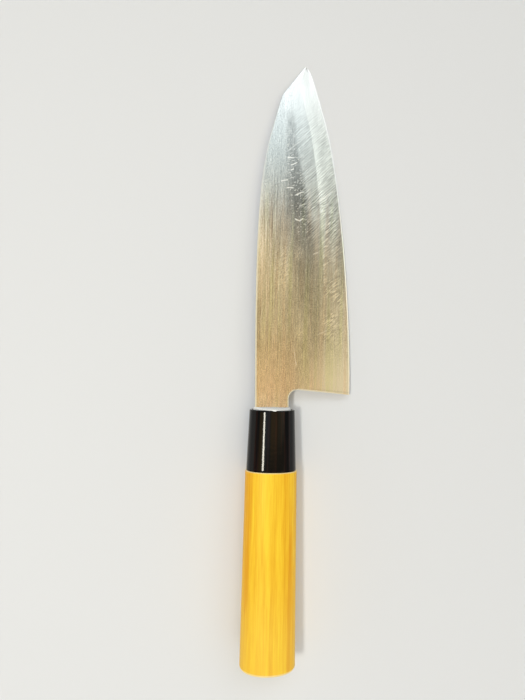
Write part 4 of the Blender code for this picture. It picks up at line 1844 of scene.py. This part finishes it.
@dataclass
class Handle(Piece):
    """The wooden handle with its tenon and the blind slot for the tang."""

    name: ClassVar[str] = "handle_wood"
    slot: ClassVar[Slot] = Slot.WOOD
    nodes: ClassVar[tuple[str, ...]] = ("handle",)

    ferrule: Ferrule

    # Its sizes. Front, butt, slot_front and slot_end are widths and thicknesses.
    fit: float = 0.3
    length: float = 94.2
    front: tuple[float, float] = (25.18, 19.18)
    butt: tuple[float, float] = (26.88, 20.68)
    front_round: float = 0.4
    butt_round: float = 1.3
    tenon_front_x: float = -3.3
    slot_front: tuple[float, float] = (14.6, 5.9)
    slot_end: tuple[float, float] = (8.6, 5.0)
    slot_end_x: float = -99.0
    slot_power: float = 24.0

    # How finely it is modelled.
    sides: int = 192
    butt_shares: tuple[float, ...] = (0.25, 0.5, 0.75)
    butt_steps: int = 8
    side_rings: int = 40
    margin: float = 1.0
    front_steps: int = 5
    tenon_rings: int = 6

    finish: WaxedWood = field(default_factory=WaxedWood)

    def __post_init__(self) -> None:
        """Works out the handle's taper."""
        self.front_x = -self.ferrule.length - self.fit
        self.butt_x = self.front_x - self.length
        self.taper = Taper(self.front_x, self.butt_x, self.front, self.butt)

    def shape(self, kit: MeshKit) -> None:
        """Models the handle from its butt to the tenon's front, then the slot.

        Args:
            kit: the mesh.
        """
        butt = reversed(round_over(self.butt_round, self.butt_steps))
        side = self.butt_x + 2 * self.butt_round, self.front_x - self.margin
        front = round_over(self.front_round, self.front_steps)
        stops = [(self.butt_x + short, inset) for short, inset in butt]
        stops += [(x, 0.0) for x in np.linspace(*side, self.side_rings)]
        stops += [(self.front_x - short, inset) for short, inset in front]
        rings = [self._butt_ring(share) for share in self.butt_shares]
        rings += [self.taper.ring(x, self.sides, inset) for x, inset in stops]
        bore, inset = self.ferrule.taper, self.ferrule.wall + self.fit
        tenon = np.linspace(self.front_x, self.tenon_front_x, self.tenon_rings)
        rings += [bore.ring(x, self.sides, inset) for x in tenon]
        slot = (self.tenon_front_x, self.slot_front), (self.slot_end_x, self.slot_end)
        rings += [oval_ring(x, *size, self.slot_power, self.sides) for x, size in slot]
        rows = kit.hoops(rings)
        kit.lid(rows[0], (self.butt_x, 0, 0))
        kit.lid(rows[-1])

    def _butt_ring(self, share: float) -> np.ndarray:
        """Gives a ring on the flat butt, a share of the way out to its rim."""
        ring = self.taper.ring(self.butt_x, self.sides, self.butt_round)
        return ring * np.array([1.0, share, share])


@dataclass
class Seal(Piece):
    """The white bead that fills the ferrule's mouth and creeps up the neck."""

    name: ClassVar[str] = "seal_bead"
    slot: ClassVar[Slot] = Slot.SEAL
    nodes: ClassVar[tuple[str, ...]] = ("tang_seal",)

    ferrule: Ferrule
    blade: Blade
    depth: float = 3.0
    sides: int = 288

    # Its foot: half its width, and how far it reaches over and under the neck.
    foot_half: tuple[float, float, float] = (9.3, 8.72, 7.0)
    foot_power: float = 1.4
    foot_lift: float = 0.03
    foot_drop: float = 0.3
    overhang: float = 0.1

    # The recess between the foot and the ferrule's wall.
    recess: float = 0.8
    wall_lift: float = 0.01
    root_lift: float = 0.02
    root_share: float = 0.99
    root_depth: float = 0.8

    # Its front, which climbs from the foot to the neck.
    proud: float = 1.15
    front_rings: int = 16
    front_power: float = 0.8
    neck_power: float = 30.0
    neck_bite: float = 0.1

    # Its unevenness, with each ring's noise cells to the millimetre and seed.
    waviness: float = 0.12
    foot_waves: tuple[float, float] = (0.35, 2.0)
    front_waves: tuple[float, float] = (0.6, 7.0)

    # The pit in its front, with painted shade in it.
    pit: Point = (1.15, -6.1, 1.6)
    pit_radius: float = 0.45
    pit_depth: float = 0.35
    pit_shade: float = 1.6

    finish: WhiteSeal = field(default_factory=WhiteSeal)

    def shape(self, kit: MeshKit) -> None:
        """Models the bead, with a pit in its front.

        Args:
            kit: the mesh.
        """
        mouth = self.ferrule.taper
        inside = mouth.ring(-self.depth, self.sides, self.ferrule.wall)
        lip = mouth.ring(0.0, self.sides, self.ferrule.wall)
        neck_size = self.blade.neck_width, self.blade.neck_thickness
        size = (side - self.neck_bite for side in neck_size)
        neck = oval_ring(0.0, *size, self.neck_power, self.sides)
        neck[:, 1] += self.blade.neck_rise
        foot = self._foot(lip)
        rings = [inside, *self._recess(lip, foot), foot]
        for i in range(1, self.front_rings + 1):
            rings.append(self._front_ring(foot, neck, i / self.front_rings))
        rings.append(neck - np.array([self.depth, 0, 0]))
        kit.hoops(rings, closed=True)
        # How much painted shade darkens the pit at each point.
        dent_shade = kit.data.verts.layers.float.new(self.finish.dent_shade)
        pit = Vector(self.pit)
        for vert in kit.data.verts:
            near = max(0.0, 1 - (vert.co - pit).length / self.pit_radius)
            vert[dent_shade] = min(1.0, self.pit_shade * near)
            vert.co.x -= self.pit_depth * near

    def _wobble(self, ring: np.ndarray, cells: float, seed: float) -> np.ndarray:
        """Gives the bead's unevenness round a ring.

        Args:
            ring: the ring.
            cells: the noise cells to the millimetre.
            seed: sets one noise apart from another.

        Returns:
            What each point is off by.
        """
        waves = [noise.noise(Vector((y * cells, z * cells, seed))) for _, y, z in ring]
        return self.waviness * np.array(waves)

    def _foot(self, lip: np.ndarray) -> np.ndarray:
        """Gives the rim of the bead: inside the ferrule's wall, but over it at the crown.

        Args:
            lip: the ring at the ferrule's mouth.

        Returns:
            The ring.
        """
        out = lip / np.linalg.norm(lip[:, 1:], axis=1, keepdims=True)
        side, crown, under = self.foot_half
        high = np.where(out[:, 2] > 0, crown, under)
        power = self.foot_power
        reach = np.abs(out[:, 1] / side) ** power + np.abs(out[:, 2] / high) ** power
        reach = reach ** (-1 / power)
        foot = out * (reach + self._wobble(lip, *self.foot_waves))[:, None]
        over = np.linalg.norm(foot, axis=1) - np.linalg.norm(lip, axis=1) - self.ferrule.wall
        foot[:, 0] = self.foot_lift - np.clip(over + self.overhang, 0.0, self.foot_drop)
        return foot

    def _recess(self, lip: np.ndarray, foot: np.ndarray) -> list[np.ndarray]:
        """Gives the rings between the bore's wall and the bead's rim.

        Args:
            lip: the ring at the ferrule's mouth.
            foot: the bead's rim.

        Returns:
            One ring on the wall, and one right below the rim where that is further in.
        """
        radius, reach = (np.linalg.norm(ring[:, 1:], axis=1) for ring in (lip, foot))
        inside = reach < radius
        wall = lip.copy()
        wall[:, 0] = np.where(inside, -self.recess, self.wall_lift)
        root = lip * (np.minimum(radius, reach) * self.root_share / radius)[:, None]
        root[:, 0] = np.where(inside, -self.root_depth * self.recess, self.root_lift)
        return [wall, root]

    def _front_ring(self, foot: np.ndarray, neck: np.ndarray, share: float) -> np.ndarray:
        """Gives a ring of the bead's front, a share of the way in from its rim to the neck.

        Args:
            foot: the bead's rim.
            neck: the ring round the neck.
            share: how far in the ring lies.

        Returns:
            The ring.
        """
        turn = math.pi / 2 * share
        inward = 1 - math.cos(turn)
        ring = foot + (neck - foot) * inward
        proud = self.proud + self._wobble(ring, *self.front_waves)
        ring[:, 0] = self.foot_lift + proud * math.sin(turn) ** self.front_power
        return ring


@dataclass(frozen=True)
class Lamp:
    """A soft lamp, placed by the angles in degrees at which it stands off the vertical.

    Its distance and size are in metres. Its glow is how bright its face looks, with 1 as
    bright as white paper.
    """

    name: str
    lean_x: float
    lean_y: float
    distance: float
    size: tuple[float, float]
    glow: float
    colour: Colour

    def build(self, aim: Vector, spared: bpy.types.Collection) -> None:
        """Puts the lamp in the scene, facing what it is aimed at.

        Args:
            aim: what it is aimed at.
            spared: what the lamp doesn't light.
        """
        data = bpy.data.lights.new(self.name, "AREA")
        data.shape = "RECTANGLE"
        data.size, data.size_y = self.size
        data.energy = self.glow * math.pi * self.size[0] * self.size[1]
        data.color = self.colour
        item = bpy.data.objects.new(self.name, data)
        bpy.context.scene.collection.objects.link(item)
        item.light_linking.receiver_collection = spared
        lean = [math.tan(math.radians(angle)) for angle in (self.lean_x, self.lean_y)]
        out = Vector((*lean, 1.0)).normalized()
        right = Vector((0, 1, 0)).cross(out).normalized()
        turn = Matrix((right, out.cross(right), out)).transposed().to_4x4()
        item.matrix_world = Matrix.Translation(aim + out * self.distance) @ turn


LAMPS = (
    Lamp("ceiling lamp", -3.0, 20.0, 1.0, (0.18, 0.10), 64.0, (1.0, 0.95, 0.82)),
    Lamp("rear lamp", -36.0, -4.0, 1.0, (0.05, 0.50), 10.0, (1.0, 0.96, 0.87)),
)


@dataclass(frozen=True)
class Patch:
    """A soft-edged part of the room's walls and ceiling.

    Its bounds are angles off the vertical in degrees, towards the tip and towards the
    cutting edge. A colour of 1 is as bright as white paper.
    """

    tip: tuple[float, float]
    edge: tuple[float, float]
    soft: float
    colour: Colour

    def cover(self, graph: ShaderGraph, below: Signal, tip: Signal, edge: Signal) -> Signal:
        """Lays the patch over what is below it.

        Args:
            graph: the room's graph.
            below: the colour below.
            tip: the tangent of the angle towards the tip.
            edge: the tangent of the angle towards the cutting edge.

        Returns:
            The colour with the patch on it.
        """
        share: Operand = 1.0
        for value, (low, high) in ((tip, self.tip), (edge, self.edge)):
            for side, middle in ((1, low), (-1, high)):
                ends = [math.tan(math.radians(middle + turn * side * self.soft)) for turn in (-1, 1)]
                share = graph.step(value, *ends) * share
        return graph.blend(share, below, self.colour)


# What the steel mirrors, laid one over the other: mostly brown towards the handle, and pale
# blue towards the tip.
ROOM = (
    Patch((-45, 18), (6, 36), 3.0, (0.68, 0.52, 0.26)),
    Patch((-50, 8), (35, 52), 3.0, (1.20, 1.05, 0.75)),
    Patch((-30, 19), (4, 17.8), 1.5, (1.13, 0.83, 0.39)),
    Patch((13.5, 20), (4, 17.8), 2.0, (0.88, 0.60, 0.20)),
    Patch((2, 11), (2, 14), 2.0, (0.82, 0.64, 0.31)),
    Patch((-20, 1.5), (8, 17.8), 2.0, (1.44, 0.88, 0.39)),
    Patch((22.6, 33), (-8, 19.5), 2.5, (0.77, 0.97, 1.04)),
    Patch((19, 40), (22, 36), 2.0, (1.10, 1.20, 1.12)),
    Patch((27.5, 33), (-2, 21.5), 2.0, (1.06, 1.30, 1.36)),
    Patch((16.5, 25), (27.5, 34), 3.0, (0.44, 0.44, 0.36)),
    Patch((4, 14), (27.5, 40), 2.0, (0.84, 0.70, 0.42)),
    Patch((8, 27), (36, 52), 2.0, (1.20, 1.20, 1.00)),
    Patch((13, 25), (4, 13), 1.5, (1.08, 0.88, 0.58)),
    Patch((15, 26), (18.9, 21.5), 1.0, (0.36, 0.41, 0.40)),
    Patch((8, 16), (18.6, 24), 1.0, (0.43, 0.38, 0.21)),
    Patch((2, 8), (18.6, 24), 1.0, (0.505, 0.38, 0.195)),
    Patch((-12, 0.5), (14, 22), 1.5, (1.38, 0.89, 0.44)),
    Patch((-12, 5), (26, 40), 2.5, (0.97, 0.80, 0.49)),
    Patch((33, 46), (-22, 23), 1.5, (2.90, 3.05, 3.20)),
    Patch((35, 52), (21, 38), 2.0, (1.90, 2.00, 2.05)),
    Patch((24, 50), (38, 64), 4.0, (0.95, 1.00, 1.00)),
    Patch((-14, 3), (-42, -24), 3.0, (1.00, 0.66, 0.28)),
    Patch((-75, 75), (-84, -68), 3.0, (1.00, 0.97, 0.91)),
    Patch((-45, 30), (-22, 3), 3.0, (0.78, 0.86, 0.98)),
    Patch((-12, -4.2), (-18, 54), 2.5, (0.34, 0.29, 0.20)),
    Patch((46, 67), (6, 53), 3.0, (1.40, 1.45, 1.45)),
)


@dataclass
class Studio:
    """A pale floor, a plain room, two soft lamps and the camera straight above."""

    pose: KnifePose
    mirror: bpy.types.Object

    # The floor. Its half size is in metres, and its gap under the knife in millimetres.
    floor_colour: Colour = (0.74, 0.765, 0.81)
    floor_shade: Colour = (0.66, 0.67, 0.68)
    floor_shade_share: float = 0.06
    floor_cells: float = 0.004
    floor_roughness: float = 0.85
    floor_half: float = 3.0
    floor_gap: float = 0.05

    # The room behind its patches.
    horizon: Colour = (0.98, 0.97, 0.95)
    ceiling: Colour = (0.20, 0.21, 0.22)
    ceiling_rise: Fade = Fade(0.08, 0.34)
    least_height: float = 0.02

    # The camera, and where the knife's origin lies off the middle of its view.
    height: float = 267.0
    focal_pixels: float = 525.8
    long_side: float = 700.0
    sensor: float = 36.0
    nearest: float = 0.01
    heading: float = math.radians(1.2)
    origin_below: float = 29.25
    origin_right: float = 4.77

    def build(self) -> None:
        """Builds the floor, the light and the camera."""
        self._build_floor()
        self._build_sky()
        spared = self._spare_mirror()
        for lamp in LAMPS:
            lamp.build(self.pose.matrix.translation, spared)
        self._build_camera()
        bpy.context.scene.view_settings.view_transform = "Standard"

    def _spare_mirror(self) -> bpy.types.Collection:
        """Keeps the lamps' own images out of the steel, where their glare would hide its finish."""
        spared = bpy.data.collections.new("steel that mirrors the room alone")
        spared.objects.link(self.mirror)
        spared.collection_objects[0].light_linking.link_state = "EXCLUDE"
        return spared

    def _build_floor(self) -> None:
        """Lays the floor under the knife."""
        material, graph = new_material("pale floor")
        x, y, z = graph.place()
        tone = graph.noise(x * self.floor_cells, y * self.floor_cells, z)
        base = graph.blend(tone * self.floor_shade_share, self.floor_colour, self.floor_shade)
        graph.surface(Base_Color=base, Roughness=self.floor_roughness)
        data = bmesh.new()
        bmesh.ops.create_grid(data, x_segments=1, y_segments=1, size=self.floor_half)
        mesh = bpy.data.meshes.new("floor")
        data.to_mesh(mesh)
        data.free()
        mesh.materials.append(material)
        floor = bpy.data.objects.new("floor", mesh)
        floor.location.z = -self.floor_gap * MM
        bpy.context.scene.collection.objects.link(floor)

    def _build_sky(self) -> None:
        """Sets pale walls all round, under a darker ceiling."""
        world = bpy.data.worlds.new("room")
        bpy.context.scene.world = world
        world.use_nodes = True
        graph = ShaderGraph(world.node_tree)
        x, y, z = graph.split(graph.node("ShaderNodeTexCoord", output="Generated"))
        height = z.most(self.least_height)
        colour = graph.blend(self.ceiling_rise.at(graph, z), self.horizon, self.ceiling)
        for patch in ROOM:
            colour = patch.cover(graph, colour, x / height, -1 * y / height)
        sky = graph.node("ShaderNodeBackground", None, {"Color": colour, "Strength": 1.0})
        graph.node("ShaderNodeOutputWorld", None, {"Surface": sky})

    def _build_camera(self) -> None:
        """Sets the camera straight above the knife, at the photograph's distance."""
        data = bpy.data.cameras.new("camera")
        data.sensor_width = self.sensor
        data.lens = self.sensor * self.focal_pixels / self.long_side
        data.clip_start = self.nearest
        camera = bpy.data.objects.new("camera", data)
        bpy.context.scene.collection.objects.link(camera)
        up = Vector((math.cos(self.heading), math.sin(self.heading), 0))
        out = Vector((0, 0, 1))
        right = up.cross(out)
        origin = self.pose.matrix.translation
        spot = origin + up * self.origin_below * MM - right * self.origin_right * MM
        spot.z = self.height * MM
        turn = Matrix((right, up, out)).transposed().to_4x4()
        camera.matrix_world = Matrix.Translation(spot) @ turn
        bpy.context.scene.camera = camera


@dataclass
class Resin:
    """The cured resin round the tang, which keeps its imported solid."""

    node: str = "tang_resin"
    finish: AmberResin = field(default_factory=AmberResin)

    def dress(self, pose: KnifePose) -> None:
        """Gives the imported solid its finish."""
        for slot in frame["nodes"][self.node].material_slots:
            slot.material = self.finish.material(pose.matrix)
        LOG.info("%s: dressed", self.node)


def main() -> None:
    """Builds the knife and the studio."""
    logging.basicConfig(level=logging.INFO, format="%(name)s: %(message)s")
    ferrule = Ferrule()
    handle = Handle(ferrule)
    blade = Blade()
    seal = Seal(ferrule, blade)
    pose = KnifePose.from_record(frame["record"], handle.butt_x)
    steel, *_ = [part.build(pose) for part in (blade, ferrule, handle, seal)]
    Resin().dress(pose)
    Studio(pose, steel).build()


if __name__ == "__main__":
    main()
